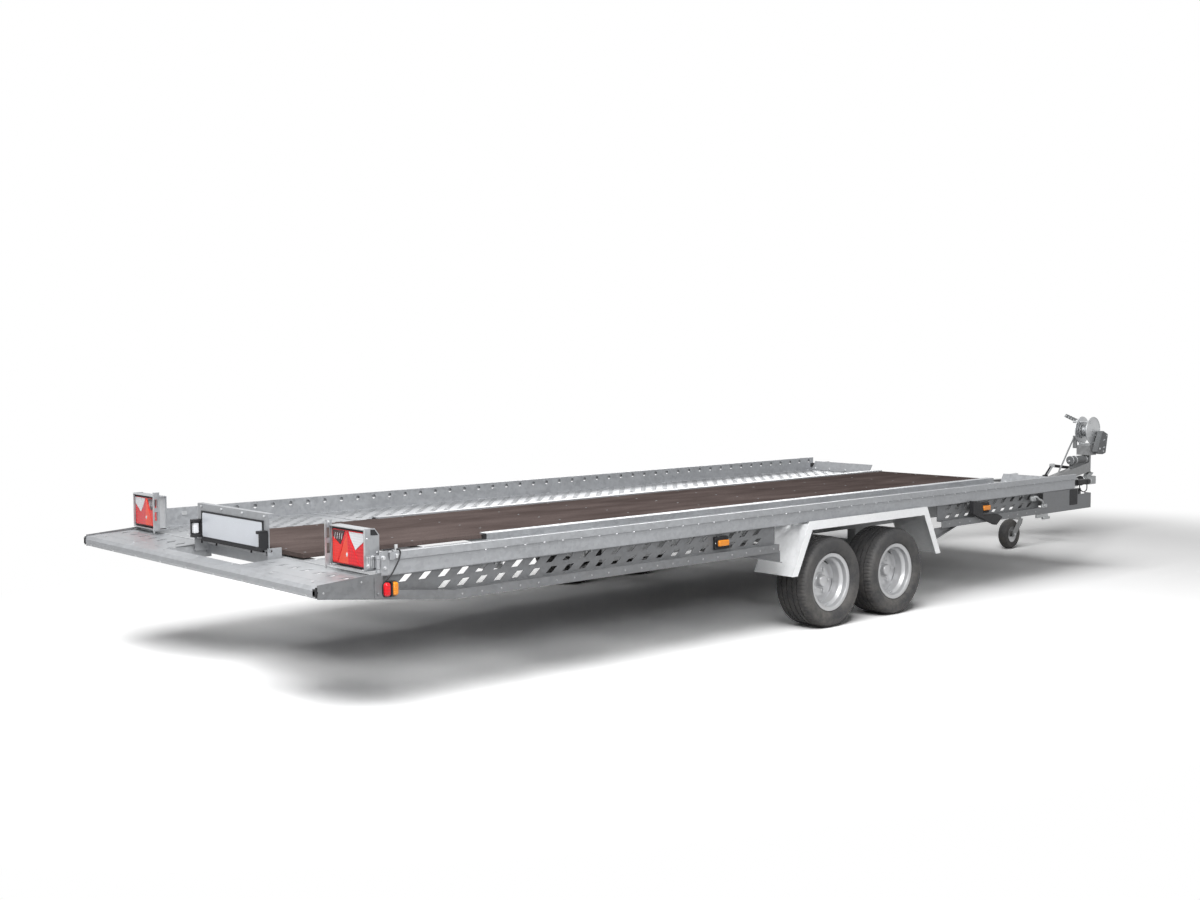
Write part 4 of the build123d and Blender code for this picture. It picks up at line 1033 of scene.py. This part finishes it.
class TRAILER_OT_tail_lamps(bpy.types.Operator):
    """Tail lamp lenses with their fields, triangle reflectors and trim"""

    bl_idname = "trailer.tail_lamps"
    bl_label = "Tail Lamps"

    def execute(self, context):
        low, high = spot("lamp_lens_left")
        size = high - low
        rear = low[0]

        def place(uv):
            return [(low[1] + u * size[1], low[2] + v * size[2]) for u, v in uv]

        half, rise = size[1] / 2, size[2] / 2
        body = moved(
            pillow(half, rise, 9, high[0], rear + 3, 3, "x"), (0, low[1] + half, low[2] + rise)
        )
        corners = np.array(place(TRIANGLE))
        eye = np.array(place([EYE]))[0]
        foot = (corners[0] + corners[1]) / 2
        facets = {}
        sloped, raised = 2.2, 0.6
        for name, ring, faces_at in (
            ("reflector_lens", (corners[0], foot, corners[2]), (sloped, raised, raised)),
            ("red_lens", (foot, corners[1], corners[2]), (raised, sloped, raised)),
        ):
            points = [(rear + 3, y, z) for y, z in ring]
            points += [(rear + face, y, z) for face, (y, z) in zip(faces_at, ring)]
            ends, walls = [(0, 1, 2), (5, 4, 3)], [(0, 3, 4, 1), (1, 4, 5, 2), (2, 5, 3, 0)]
            facets[name] = outward((np.array(points), [np.array(ends), np.array(walls)]))
        fields = {
            name: prism(place(outline), rear + 1.6, rear + 3.4, "x")
            for name, outline in LAMP_ZONES.items()
        }
        diamond = prism(eye + np.array([(-7, 0), (0, 9), (7, 0), (0, -9)]), rear, rear + 3, "x")
        bar = prism([(-1.2, -11), (1.2, -11), (6.2, 13), (3.8, 13)], rear + 1.0, rear + 2.2, "x")
        bars = joined(*[
            moved(bar, (0, low[1] + u * size[1], low[2] + 0.79 * size[2]))
            for u in (0.09, 0.16, 0.23, 0.30)
        ])
        x, inner, outer = rear + 38, low[1] - 12, high[1] + 3
        bottom, top = low[2] - 12, high[2] + 12
        trim = joined(
            box(x - 42.5, x - 39, inner, outer, top - 3.4, top + 0.6),
            box(x - 42.5, x - 39, inner, outer, bottom - 0.6, bottom + 3.4),
            box(x - 42.5, x - 39, outer - 0.5, outer + 3.4, bottom, top + 3),
            box(x - 59, x - 56.5, inner - 3.6, inner + 0.6, 541, top + 20),
            box(x - 37, x + 5, inner + 8.4, inner + 10.6, 560, top + 2),
            box(x - 58, x - 28, inner - 3.6, inner + 0.6, top + 17.4, top + 20.4),
        )
        shade = joined(
            prism([(x - 14, top - 22), (x + 19, top - 24), (x + 4, top - 2), (x - 14, top - 1)],
                  outer + 2.6, outer + 3.8, "y"),
            frame_bars(low[1] - 4, high[1] + 2, low[2] - 4, high[2] + 4, rear + 5, rear + 9, 5),
        )
        heads = joined(
            bolts(6, "y", [(x - 43, inner, top + 10)]),
            bolts(8, "y", [(x - 29, outer + 8, bottom + 20), (x - 8, outer + 8, bottom + 50)]),
            rivets(4.5, 2.4, "-x", rows_of([x - 42], [inner + 7, outer - 8], [bottom + 3])),
            rivets(4, 2.2, "y", [(x - 30, outer + 3, top - 34), (x + 14, outer + 3, bottom + 66)]),
        )
        ribs = joined(*[
            moved(pillow(2.4, 22, 2, 0, 3, 1.4, "y"), (x - 34 + 9 * i, outer + 8, bottom + 32))
            for i in range(5)
        ])
        for name, side in SIDES:
            rides = f"lamp_{name}"
            piece(f"lamp_body_{name}", mirrored(body, side), rides, "red_lens",
                  replaces=[f"lamp_lens_{name}"], crease=35)
            for glass, chunk in fields.items():
                piece(f"lamp_{glass}_{name}", mirrored(chunk, side), rides, "red_lens", glass)
            for glass, chunk in facets.items():
                piece(f"lamp_triangle_{glass}_{name}", mirrored(chunk, side), rides, "red_lens",
                      glass)
            piece(f"lamp_diamond_{name}", mirrored(diamond, side), rides, "red_lens", "white_lens")
            piece(f"lamp_bars_{name}", mirrored(bars, side), rides, "red_lens", "white_lens")
            piece(f"lamp_trim_{name}", mirrored(joined(trim, heads, ribs), side), rides,
                  "zinc_bright")
            piece(f"lamp_shade_{name}", mirrored(shade, side), rides, "black_plastic")
        hinge = joined(
            bolts(8.5, "y", [(x + 23, 1005, 600)]), bolts(6.5, "y", [(x + 30, 1005, 562)]),
        )
        piece("lamp_post_bolts", both(hinge), "trailer", "zinc_bright")
        return {"FINISHED"}


class TRAILER_OT_marker_lamps(bpy.types.Operator):
    """Side, rear and front marker lamps"""

    bl_idname = "trailer.marker_lamps"
    bl_label = "Marker Lamps"

    def execute(self, context):
        low, high = spot("rear_markers")
        x, z = (low[0] + high[0]) / 2, (low[2] + high[2]) / 2
        half, rise, foot, top = (high[0] - low[0]) / 2, (high[2] - low[2]) / 2, SKIRT_FACE, high[1]
        base = joined(
            moved(pillow(half, rise, 17, foot, foot + 8, 2), (x, 0, z)),
            box(x - 3, x + 3, foot + 8, top - 1.5, z - rise + 3, z + rise - 3),
        )
        whole = pillow(half / 2 - 3.5, rise - 4, 11, foot + 6, top, 9)
        piece("rear_marker_bases", both(base), "trailer", "black_plastic",
              replaces=["rear_markers"])
        for name, shift, glass in (("red", -1, "red_lens"), ("amber", 1, "orange_lens")):
            field = both(moved(whole, (x + shift * half / 2, 0, z)))
            piece(f"rear_marker_{name}", field, "trailer", "red_lens", glass, crease=50)
        low, high = spot("side_markers")
        stations = (low[0] + 45, high[0] - 45)
        z, rise = (low[2] + high[2]) / 2, (high[2] - low[2]) / 2
        plate = joined(
            pillow(45, rise, 7, WEB_FACE, 990, 2), pillow(38, rise - 12, 6, 988, 999, 2),
        )
        glass = pillow(34, rise - 15, 6, 996, 1008, 5)
        screws = rivets(3, 1.6, "y", [(-41, 990, 0), (41, 990, 0)])
        plates, glasses, heads = (
            both(joined(*[moved(chunk, (x, 0, z)) for x in stations]))
            for chunk in (plate, glass, screws)
        )
        piece("side_marker_bases", plates, "trailer", "black_plastic", replaces=["side_markers"])
        piece("side_marker_lenses", glasses, "trailer", "orange_lens", crease=50)
        piece("side_marker_screws", heads, "trailer", "zinc_bright")
        low, high = spot("position_lamps")
        x0, x1, z = high[0] - 166, high[0], (low[2] + high[2]) / 2
        body = joined(
            moved(pillow(15, 16, 7, x0 + 2, x1 - 30, 6, "x"), (0, 996, z)),
            moved(pillow(18, 14, 9, x1 - 60, x1 - 22, 4, "x"), (0, 996, z)),
            box(x0 - 58, x0 + 10, 999, 1001, z - 14, z + 14),
        )
        loop = tube(
            smooth_path([(x0 + 20, 1006, z - 12), (x0 + 22, 1011, z - 40), (x0 + 60, 1011, z - 58),
                         (x0 + 100, 1009, z - 48), (x0 + 112, 1005, z - 12)], 40), 3.2, 10,
        )
        glass = moved(pillow(14, 12, 8, x1 - 24, x1 - 8, 6, "x"), (0, 996, z))
        piece("position_lamp_bodies", both(joined(body, loop)), "trailer", "black_plastic",
              replaces=["position_lamps"])
        piece("position_lamp_lenses", both(glass), "trailer", "white_plate", "white_lens",
              crease=50)
        return {"FINISHED"}


class TRAILER_OT_plate(bpy.types.Operator):
    """Surround of the blank plate, its lamps and the bolts of its carrier"""

    bl_idname = "trailer.plate"
    bl_label = "Plate and Its Lamps"

    def execute(self, context):
        low, high = spot("licence_plate")
        half, x = high[1], low[0]
        surround = joined(
            frame_bars(-half - 5, half + 5, low[2] - 4, high[2] + 4, x - 1.5, x + 4, 6),
            box(x - 2.5, x + 4, -half - 5, half + 5, low[2] - 15, low[2] - 3),
        )
        rods = both(joined(*[tube([(x + 9, y, 563), (x + 9, y, 541)], 4, 10) for y in (150, 282)]))
        piece("plate_surround", joined(surround, rods), "plate", "black_plastic")
        face = moved(pillow(half - 3, (high[2] - low[2]) / 2 - 3, 8, x + 4, x - 0.6, 1.2, "x"),
                     (0, 0, (low[2] + high[2]) / 2))
        piece("plate_face", face, "plate", "white_plate", replaces=["licence_plate"])
        low, high = spot("plate_lamps")
        y0, y1, z = high[1] - 30, high[1], (low[2] + high[2]) / 2
        rise = (high[2] - low[2]) / 2
        centre = (low[0] + 21, (y0 + y1) / 2, z)
        shell = joined(
            moved(pillow(21, 15, 6, rise, rise - 12, 3, "z"), centre),
            moved(pillow(21, 15, 6, -rise, 12 - rise, 3, "z"), centre),
            moved(pillow(19, rise - 8, 5, 8, 15, 3, "y"), centre),
            box(high[0] - 8, high[0], y0 + 2, y1 - 1, z - rise + 6, z + rise - 6),
        )
        glass = moved(pillow(12, rise - 15, 5, 8, -9, 5, "y"), (low[0] + 20, (y0 + y1) / 2, z))
        piece("plate_lamp_shells", both(shell), "plate", "black_plastic", replaces=["plate_lamps"])
        piece("plate_lamp_glasses", both(glass), "plate", "white_plate", "white_lens", crease=50)
        low, high = spot("plate_carrier")
        places = rows_of([low[0]], [-270, -90, 90, 270], [high[2] - 12])
        piece("carrier_bolts", bolts(6, "-x", places), "plate", "zinc_bright")
        return {"FINISHED"}


# ---------------------------------------------------------------- fasteners and edges


class TRAILER_OT_fasteners(bpy.types.Operator):
    """Rivets, bolts and screws of the bed, the mudguards and the drawbar"""

    bl_idname = "trailer.fasteners"
    bl_label = "Fasteners"

    def execute(self, context):
        low, high = spot("mudguard_left")
        rear, front = low[0], high[0]
        stations = np.append(np.arange(-120, rear - 80, 96), np.arange(front + 120, 4060, 96))
        upright = [s for s in RIB_STATIONS if not rear - 60 < s < front + 60 and s > -200]
        beside = np.add.outer(upright, (-14, 14)).ravel()
        sides = joined(
            rivets(4.6, 2.4, "y", rows_of(stations, [SKIRT_FACE], [427])),
            bolts(7.0, "y", rows_of(beside, [WEB_FACE], [524])),
            rivets(4.6, 2.4, "y", [(-576, SKIRT_FACE, 521), (-736, SKIRT_FACE, 498)]),
        )
        guard = rows_of(np.linspace(rear + 210, front - 210, 5), [800, 985], [527])
        piece("side_fasteners", both(sides), "trailer", "galvanised_steel")
        piece("mudguard_rivets", both(rivets(5, 3, "z", guard)), "trailer", "zinc_bright")
        ply = rows_of(RIB_STATIONS, [-385, -235, -80, 80, 235, 385], [DECK_TOP])
        # The deck screws take the half-tone zinc that paints the webs' shade, so they stay dark on
        # the film.
        piece("deck_screws", rivets(5.5, 1.2, "z", ply), "trailer", "galvanised_steel",
              "galvanised_web")
        treads = rows_of(RIB_STATIONS, [468, 640, 810, 985], [RUNWAY_TOP])
        piece("runway_bolts", both(rivets(7.0, 2.6, "z", treads)), "trailer", "zinc_bright")
        rear = spot("rear_lip")[0][0]
        lip = joined(
            rivets(6.5, 3.0, "-x", rows_of([rear + 5], np.linspace(-940, 940, 9), [487])),
            rivets(6, 2.2, "z", rows_of([rear + 55], np.linspace(-900, 900, 7), [527])),
        )
        piece("lip_fasteners", lip, "trailer", "zinc_bright")
        stops = bolts(8, "-x", rows_of([4399], [560, 680, 820, 940], [548]))
        piece("stop_plate_bolts", both(stops), "trailer", "zinc_bright")
        rear = spot("overrun_housing")[0][0]
        cheek = bolts(9, "-y", rows_of([5720, 5790, 5930, 6050, 6130], [-44], [395, 420]))
        housing = joined(
            bolts(8, "z", rows_of(np.linspace(rear + 60, rear + 440, 5), [-30, 30], [436])),
            cheek, mirrored(cheek, -1),
        )
        piece("housing_bolts", housing, "trailer", "zinc_bright")
        beams = [
            bolts(8.5, "y", rows_of([station], [draw_line(station)], [385, 425]))
            for station in (4620, 4720, 5300, 5400, 5860, 5940)
        ]
        piece("drawbar_bolts", both(joined(*beams)), "trailer", "zinc_bright")
        return {"FINISHED"}


DRAWBAR_ROOT, DRAWBAR_FRONT = (4520.0, 640.0), (6000.0, 98.0)


def draw_line(station):
    """Outer face of the drawbar beam at a station, on a line from its root to its front."""
    (root, wide), (front, narrow) = DRAWBAR_ROOT, DRAWBAR_FRONT
    return wide - (station - root) / (front - root) * (wide - narrow)


class TRAILER_OT_bed_details(bpy.types.Operator):
    """Edge strips, gussets, latch, lead clamps and the ends of the rear lip"""

    bl_idname = "trailer.bed_details"
    bl_label = "Bed Details"

    def execute(self, context):
        bright = joined(
            box(-509, -501, 332, 985, 534.6, 537.2),
            box(-461, -455, 1000.5, 1004.5, 536, 621),
            moved(pillow(13, 9, 4, 0, 4, 1.5, "y"), (-280, 997, 592)),
            box(-436, -418, 996, 1012, 620.5, 625.5),
            box(-431, -419, 1006, 1011, 622, 646),
            moved(pillow(7, 9, 4, 1014, 1023, 3, "y"), (-425, 0, 604)),
        )
        piece("bed_edge_strips", both(bright), "trailer", "zinc_bright")
        dark = joined(
            prism([(-770, 489), (-770, 517), (-757, 503)], 990, 1009, "y"),
            box(-768, -700, 1004.5, 1006, 484, 522),
            box(424, 436, 424, 449, 536, 557),
        )
        piece("bed_dark_ends", both(dark), "trailer", "black_rubber")
        gussets = joined(
            box(-522, -486, SKIRT_FACE, 1011, 452, 534), bolts(7, "y", [(-506, 1011, 470)]),
            prism([(1500, 410), (1785, 352), (1785, 410)], 975, 979),
            prism([(3046, 410), (3046, 352), (3250, 410)], 975, 979),
            prism([(1500, 410), (1785, 352), (1785, 356), (1500, 414)], 979, 992),
            prism([(3046, 352), (3250, 410), (3250, 414), (3046, 356)], 979, 992),
        )
        # The gussets take the half-tone zinc that paints the webs' shade.
        piece("mudguard_gussets", both(gussets), "trailer", "galvanised_sheet", "galvanised_web")
        return {"FINISHED"}


class TRAILER_OT_front_fittings(bpy.types.Operator):
    """Covers and catches at the front of the sides"""

    bl_idname = "trailer.front_fittings"
    bl_label = "Front Fittings"

    def execute(self, context):
        cover = moved(pillow(45, 47, 6, 1004, 1010, 2), (4429, 0, 484))
        piece("front_covers", both(cover), "trailer", "black_plastic")
        handle = smooth_path(
            [(3966, 1010, 512), (3990, 1022, 516), (4020, 1022, 500), (4062, 1016, 488),
             (4080, 1010, 470)], 24,
        )
        catch = joined(
            tube(handle, 6.5, 10),
            moved(pillow(24, 14, 6, 1003, 1016, 3), (3978, 0, 505)),
            moved(pillow(26, 11, 5, 1003, 1014, 3), (4100, 0, 455)),
            bolts(9, "y", [(4100, 1014, 455), (3978, 1016, 505)]),
            moved(pillow(60, 10, 4, 1000, 1012, 2), (4078, 0, 398)),
            moved(pillow(34, 8, 4, 1000, 1016, 2), (4120, 0, 384)),
        )
        piece("front_catches", both(catch), "trailer", "cast_metal")
        return {"FINISHED"}


# ---------------------------------------------------------------- drawbar


class TRAILER_OT_winch(bpy.types.Operator):
    """Rims, wound cable, grip and cover details of the winch"""

    bl_idname = "trailer.winch"
    bl_label = "Winch"

    def execute(self, context):
        low, high = spot("winch_drum")
        x, z = (low[0] + high[0]) / 2, (low[2] + high[2]) / 2
        right, left = low[1] + 16, high[1] - 18
        turns, count = 8, 8 * 28
        angle = np.linspace(0, 2 * turns * TURN, 2 * count)
        layer = np.append(
            np.linspace(right + 3, left - 3, count), np.linspace(left - 6, right + 6, count)
        )
        reach = np.repeat((36.0, 42.5), count)
        wound = turned(reach, layer, angle) + (x, 0, z)
        piece("wound_cable", outward(tube(wound, 3.6, 8)), "drum", "zinc_bright", "wire_rope")
        gear_angle = np.linspace(0, TURN, 44 * 4, endpoint=False)
        tooth = np.tile((53.0, 53.0, 57.5, 57.5), 44)
        ring = np.column_stack([tooth * np.sin(gear_angle), tooth * np.cos(gear_angle)])
        gear = moved(outward(prism(ring, left + 3.2, left + 8, "y")), (x, 0, z))
        piece("drum_gear", gear, "drum", "zinc_bright", "cast_metal")
        low, high = spot("winch_frame")
        centre_z = high[2] - 100
        turn = np.linspace(0, TURN, 64, endpoint=False)
        rims = [
            outward(tube(turned(99.0, y, turn) + (x, 0, centre_z), 2.8, 8, closed=True))
            for y in (low[1], high[1])
        ]
        boss = bolts(13, "y", [(x, high[1] + 4, centre_z)])
        studs = bolts(
            7, "y", np.array([(-66, 0, -40), (60, 0, -48), (70, 0, 30)]) + (x, high[1], centre_z)
        )
        pawl = joined(
            moved(outward(prism([(-10, -22), (8, -26), (34, 2), (26, 12), (-6, 8)], 0, 5, "y")),
                  (x + 20, high[1] + 1, centre_z + 62)),
            box(x + 16, x + 60, high[1] + 1, high[1] + 4, centre_z + 40, centre_z + 46),
        )
        piece("winch_rims", joined(*rims, boss, studs, pawl), "trailer", "zinc_bright")
        low, high = spot("winch_cover")
        slot = outward(prism([(-13, -5), (17, 0), (17, 6), (-13, 2)], -0.8, 1.0))
        slots = joined(*[moved(slot, (x + 72, low[1], height)) for height in (648, 702)])
        edge = joined(
            bolts(6, "-y", [(x + 60, low[1], 620), (x + 108, low[1], 735)]),
            rivets(9, 4, "-y", [(x + 12, low[1], 640)]),
        )
        piece("winch_cover_slots", slots, "trailer", "grey_plastic", "white_plate")
        piece("winch_cover_bolts", edge, "trailer", "zinc_bright")
        low, high = spot("winch_crank")
        start = np.array((high[0] - 13.0, 84.0, high[2] - 48.0))
        end = np.array((high[0] - 13.0, high[1] - 10.0, high[2] - 13.5))
        share = np.linspace(0, 1, 25)[:, None]
        swell = 13.4 + 0.9 * np.sin(TURN * 4 * share[:, 0])
        piece("crank_grip", outward(tube(start + share * (end - start), swell, 20)), "crank",
              "zinc_bright", "grey_plastic")
        along = end - start
        caps = [tube([start - 0.12 * along, start - 0.02 * along], 10, 16),
                tube([end, end + 0.03 * along, end + 0.1 * along], [13.5, 13.0, 7.0], 16)]
        piece("crank_ends", joined(*[outward(cap) for cap in caps]), "crank", "zinc_bright")
        return {"FINISHED"}


class TRAILER_OT_drawbar_details(bpy.types.Operator):
    """Coupling handle, gaiter clips, jockey crank and clamp, brake lever and stand details"""

    bl_idname = "trailer.drawbar_details"
    bl_label = "Drawbar Details"

    def execute(self, context):
        low, high = spot("coupling_head")
        top = high[2]
        swell = np.interp(np.linspace(0, 1, 22), [0, 0.5, 1], [11, 15, 9])
        bow = [(6392, 0, top - 26), (6420, 0, top - 8), (6448, 0, top - 6), (6474, 0, top - 12)]
        handle = joined(
            bent_tube(bow, 22, swell, 16), moved(pillow(30, 19, 8, 418, 432, 5, "z"), (6430, 0, 0)),
        )
        piece("coupling_handle", handle, "trailer", "black_plastic")
        cross = joined(
            bolts(10, "-y", [(6345, -27, COUPLING_LINE), (6395, -36, COUPLING_LINE)]),
            bolts(10, "y", [(6345, 27, COUPLING_LINE), (6395, 36, COUPLING_LINE)]),
            *[hoop(35.0, (station, 0, COUPLING_LINE), 2.4, 32) for station in (6194.0, 6313.0)],
        )
        piece("coupling_bolts", cross, "trailer", "zinc_bright")
        low, high = spot("jockey_tube")
        x, y, top = low[0] + 38, (low[1] + high[1]) / 2, high[2]
        arm = [(x, y, top + 22), (x - 30, y, top + 24), (x - 82, y, top + 22)]
        crank = joined(
            moved(pillow(31, 31, 30, top - 2, top + 8, 4, "z"), (x, y, 0)),
            outward(tube([(x, y, top + 4), (x, y, top + 26)], 8, 14)),
            bent_tube(arm, 14, 6.5, 12),
            outward(tube([(x - 80, y, top + 8), (x - 80, y, top + 28)], 8, 12)),
        )
        piece("jockey_crank", crank, "trailer", "galvanised_steel", "zinc_bright")
        heights = (top + 9, top + 5, top - 31, top - 36)
        grip = outward(tube([(x - 80, y, height) for height in heights], [8, 12, 12, 7], 16))
        piece("jockey_crank_grip", grip, "trailer", "galvanised_steel", "black_plastic")
        lever = [(x - 46, y - 34, 400), (x - 46, y - 44, 412), (x - 46, y - 60, 452),
                 (x - 46, y - 70, 486)]
        jaw = outward(prism([(-58, -16), (-30, -16), (-30, 16), (-58, 16)], -34, 34))
        clamp = joined(
            outward(tube([(x - 46, y - 30, 406), (x - 46, y + 62, 406)], 6, 12)),
            bent_tube(lever, 16, 6.5, 12), bolts(10, "y", [(x - 46, y + 36, 406)]),
            moved(jaw, (x, y, 406)),
        )
        piece("jockey_clamp_lever", clamp, "trailer", "zinc_bright")
        low, high = spot("jockey_wheel")
        centre = (low + high) / 2
        hub = joined(
            lathe(48, (68, -16.5), (70, -20), (66, -26), (30, -20), (18, -18), (18, -12),
                  (66, -14)),
            lathe(48, (68, 16.5), (66, 14), (18, 12), (18, 18), (30, 20), (66, 26), (70, 20)),
            across(hexagon_bolt(10), "y"),
        )
        axle_ends = joined(bolts(11, "-y", [(0, -44, 0)]), bolts(11, "y", [(0, 44, 0)]))
        piece("jockey_hub", moved(outward(hub), centre), "castor", "tyre_rubber_small", "rim_steel")
        piece("jockey_axle_nuts", moved(axle_ends, centre), "fork", "galvanised_steel",
              "zinc_bright")
        fittings = joined(
            bolts(9, "y", [(5892, 57, 458)]),
            moved(pillow(16, 13, 5, 33, 60, 3, "y"), (5992, 0, 530)),
        )
        piece("brake_lever_fittings", fittings, "trailer", "black_plastic", "zinc_bright")
        bar = [(5878, 445), (5900, 445), (6000, 521), (6012, 521), (6010, 536), (5990, 536)]
        bars = joined(*[prism(bar, y, y + 1.2) for y in (38.8, 54.0)])
        piece("brake_lever_bars", bars, "trailer", "black_plastic", "zinc_bright")
        low, high = spot("brake_cylinder")
        bands = [
            hoop(30.0, (station, -6, 561), 2.2, 40)
            for station in (low[0] + 16, low[0] + 70, high[0] - 30)
        ]
        nut = bolts(8, "-x", [(low[0], -6, 555)])
        piece("brake_cylinder_bands", joined(*bands, nut), "trailer", "zinc_bright")
        return {"FINISHED"}


# ---------------------------------------------------------------- studio


WHITE = (1.0, 1.0, 1.0, 1.0)
CAMERA_PLACE = (-3.4134, -5.4233, 1.3465)
CAMERA_TURNS = (("Z", -42.27), ("X", 86.18), ("Z", -0.21))
FAR_SHARE, FLOOR_REACH = 0.7, 40.0


def studio_floor(name, colour, seen, inner, outer):
    """The floor's material. Its diffuse level is the seen one for the camera and in reflections,
    and the plain one for all other light. From an ellipse inner metres out to one outer metres
    out, it turns into the backdrop's even white."""
    tree, shader = surface(name, Roughness=0.9, Specular_IOR_Level=0.0)
    direct = seen_directly(tree)
    cloud = noise(tree, object_place(tree), 0.6, 3.0)
    plain = mixed(tree, cloud, rgba(colour, 0.96), rgba(colour))
    feed(tree, shader, {"Base Color": mixed(tree, direct, plain, rgba(seen))})
    away = put(tree, "VectorMath", {0: object_place(tree, (0.62, 1.0, 1.0))}, operation="LENGTH")
    fade = spread(tree, away["Value"], 0.0, 1.0, inner, outer, interpolation_type="SMOOTHSTEP")
    white = put(tree, "Emission", {"Color": WHITE, "Strength": 1.0})[0]
    blend = put(tree, "MixShader", {0: times(tree, fade, direct), 1: shader.outputs[0], 2: white})
    feed(tree, tree.nodes["Material Output"], {"Surface": blend[0]})
    return bpy.data.materials[name]


def seen_directly(tree):
    """1 for the camera's rays and for those of reflections and glass, and 0 for all others."""
    rays = put(tree, "LightPath", {})
    direct = math_node(tree, "MAXIMUM", rays["Is Camera Ray"], rays["Is Glossy Ray"])
    return math_node(tree, "MAXIMUM", direct, rays["Is Transmission Ray"])


class TRAILER_OT_studio(bpy.types.Operator):
    """Floor, soft light and the three-quarter camera at the rear right"""

    bl_idname = "trailer.studio"
    bl_label = "Studio"

    def execute(self, context):
        scene, studio = context.scene, context.scene.trailer_studio
        floor = bpy.data.meshes.new("studio_floor")
        corners = FLOOR_REACH * np.array([(-1, -1, 0), (1, -1, 0), (1, 1, 0), (-1, 1, 0)])
        floor.from_pydata(corners.tolist(), [], [(0, 1, 2, 3)])
        floor.materials.append(studio_floor("studio_floor", (0.30,) * 3, (1.5,) * 3, 2.3, 3.5))
        ground = bpy.data.objects.new("studio_floor", floor)
        scene.collection.objects.link(ground)
        centre = (CAD_BOX[0] + CAD_BOX[1]) / 2
        lights = (
            ("overhead_light", (-5.6, -2.5, 6.1), (7.0, 4.2), studio.overhead),
            ("side_light", (-5.6, -11.0, 5.4), (7.0, 4.0), studio.side),
            ("far_side_light", (8.4, 9.6, 5.0), (7.0, 4.0), FAR_SHARE * studio.side),
        )
        for name, offset, size, power in lights:
            lamp = bpy.data.lights.new(name, "AREA")
            lamp.shape, lamp.size, lamp.size_y, lamp.energy = "RECTANGLE", *size, power
            holder = bpy.data.objects.new(name, lamp)
            holder.location = (centre.x + offset[0], offset[1], offset[2])
            holder.rotation_euler = (-Vector(offset)).to_track_quat("-Z", "Y").to_euler()
            scene.collection.objects.link(holder)
            if "side" in name:
                aside = bpy.data.collections.new("kept_out_of_" + name)
                aside.objects.link(ground)
                aside.collection_objects[0].light_linking.link_state = "EXCLUDE"
                holder.light_linking.receiver_collection = aside
        camera = bpy.data.cameras.new("rear_right_camera")
        camera.lens, camera.sensor_width, camera.clip_end = studio.lens, 36.0, 200.0
        eye = bpy.data.objects.new("rear_right_camera", camera)
        turn = Matrix.Identity(3)
        for axis, degrees in CAMERA_TURNS:
            turn = turn @ Matrix.Rotation(math.radians(degrees), 3, axis)
        eye.rotation_euler = turn.to_euler()
        eye.location = Vector(CAMERA_PLACE) + Vector((STATION_ZERO, 0, 0))
        scene.collection.objects.link(eye)
        scene.camera = eye
        world = bpy.data.worlds.new("studio")
        world.use_nodes = True
        tree = world.node_tree
        level = spread(tree, seen_directly(tree), studio.ambient, 1.0)
        feed(tree, tree.nodes["Background"], {"Color": WHITE, "Strength": level})
        scene.world = world
        scene.view_settings.view_transform = "Standard"
        return {"FINISHED"}


# ---------------------------------------------------------------- add-on


PIECES = (
    TRAILER_OT_studio, TRAILER_OT_finishes, TRAILER_OT_wheels, TRAILER_OT_runways,
    TRAILER_OT_tail_lamps, TRAILER_OT_marker_lamps, TRAILER_OT_plate, TRAILER_OT_fasteners,
    TRAILER_OT_bed_details, TRAILER_OT_front_fittings, TRAILER_OT_winch, TRAILER_OT_drawbar_details,
)
SETTINGS = {
    "trailer_colours": TrailerColours, "trailer_tread": TrailerTread,
    "trailer_runway": TrailerRunway, "trailer_studio": TrailerStudio,
}


class TRAILER_PT_looks(bpy.types.Panel):
    """The trailer's settings and the steps that build it"""

    bl_label = "Car Trailer"
    bl_idname = "TRAILER_PT_looks"
    bl_space_type = "VIEW_3D"
    bl_region_type = "UI"
    bl_category = "Trailer"

    def draw(self, context):
        for name, settings in SETTINGS.items():
            column = self.layout.box().column()
            for key in settings.__annotations__:
                column.prop(getattr(context.scene, name), key)
        for step in PIECES:
            self.layout.operator(step.bl_idname)


def register():
    """Registers the classes and gives each group of settings its place in the scene."""
    for cls in (*SETTINGS.values(), *PIECES, TRAILER_PT_looks):
        bpy.utils.register_class(cls)
    for name, settings in SETTINGS.items():
        setattr(bpy.types.Scene, name, bpy.props.PointerProperty(type=settings))


def unregister():
    """Takes the settings and the classes away again."""
    for name in SETTINGS:
        delattr(bpy.types.Scene, name)
    for cls in reversed((*SETTINGS.values(), *PIECES, TRAILER_PT_looks)):
        bpy.utils.unregister_class(cls)


def main():
    """Registers the add-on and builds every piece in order."""
    register()
    for step in PIECES:
        group, action = step.bl_idname.split(".")
        getattr(getattr(bpy.ops, group), action)()


if __name__ == "__main__":
    main()
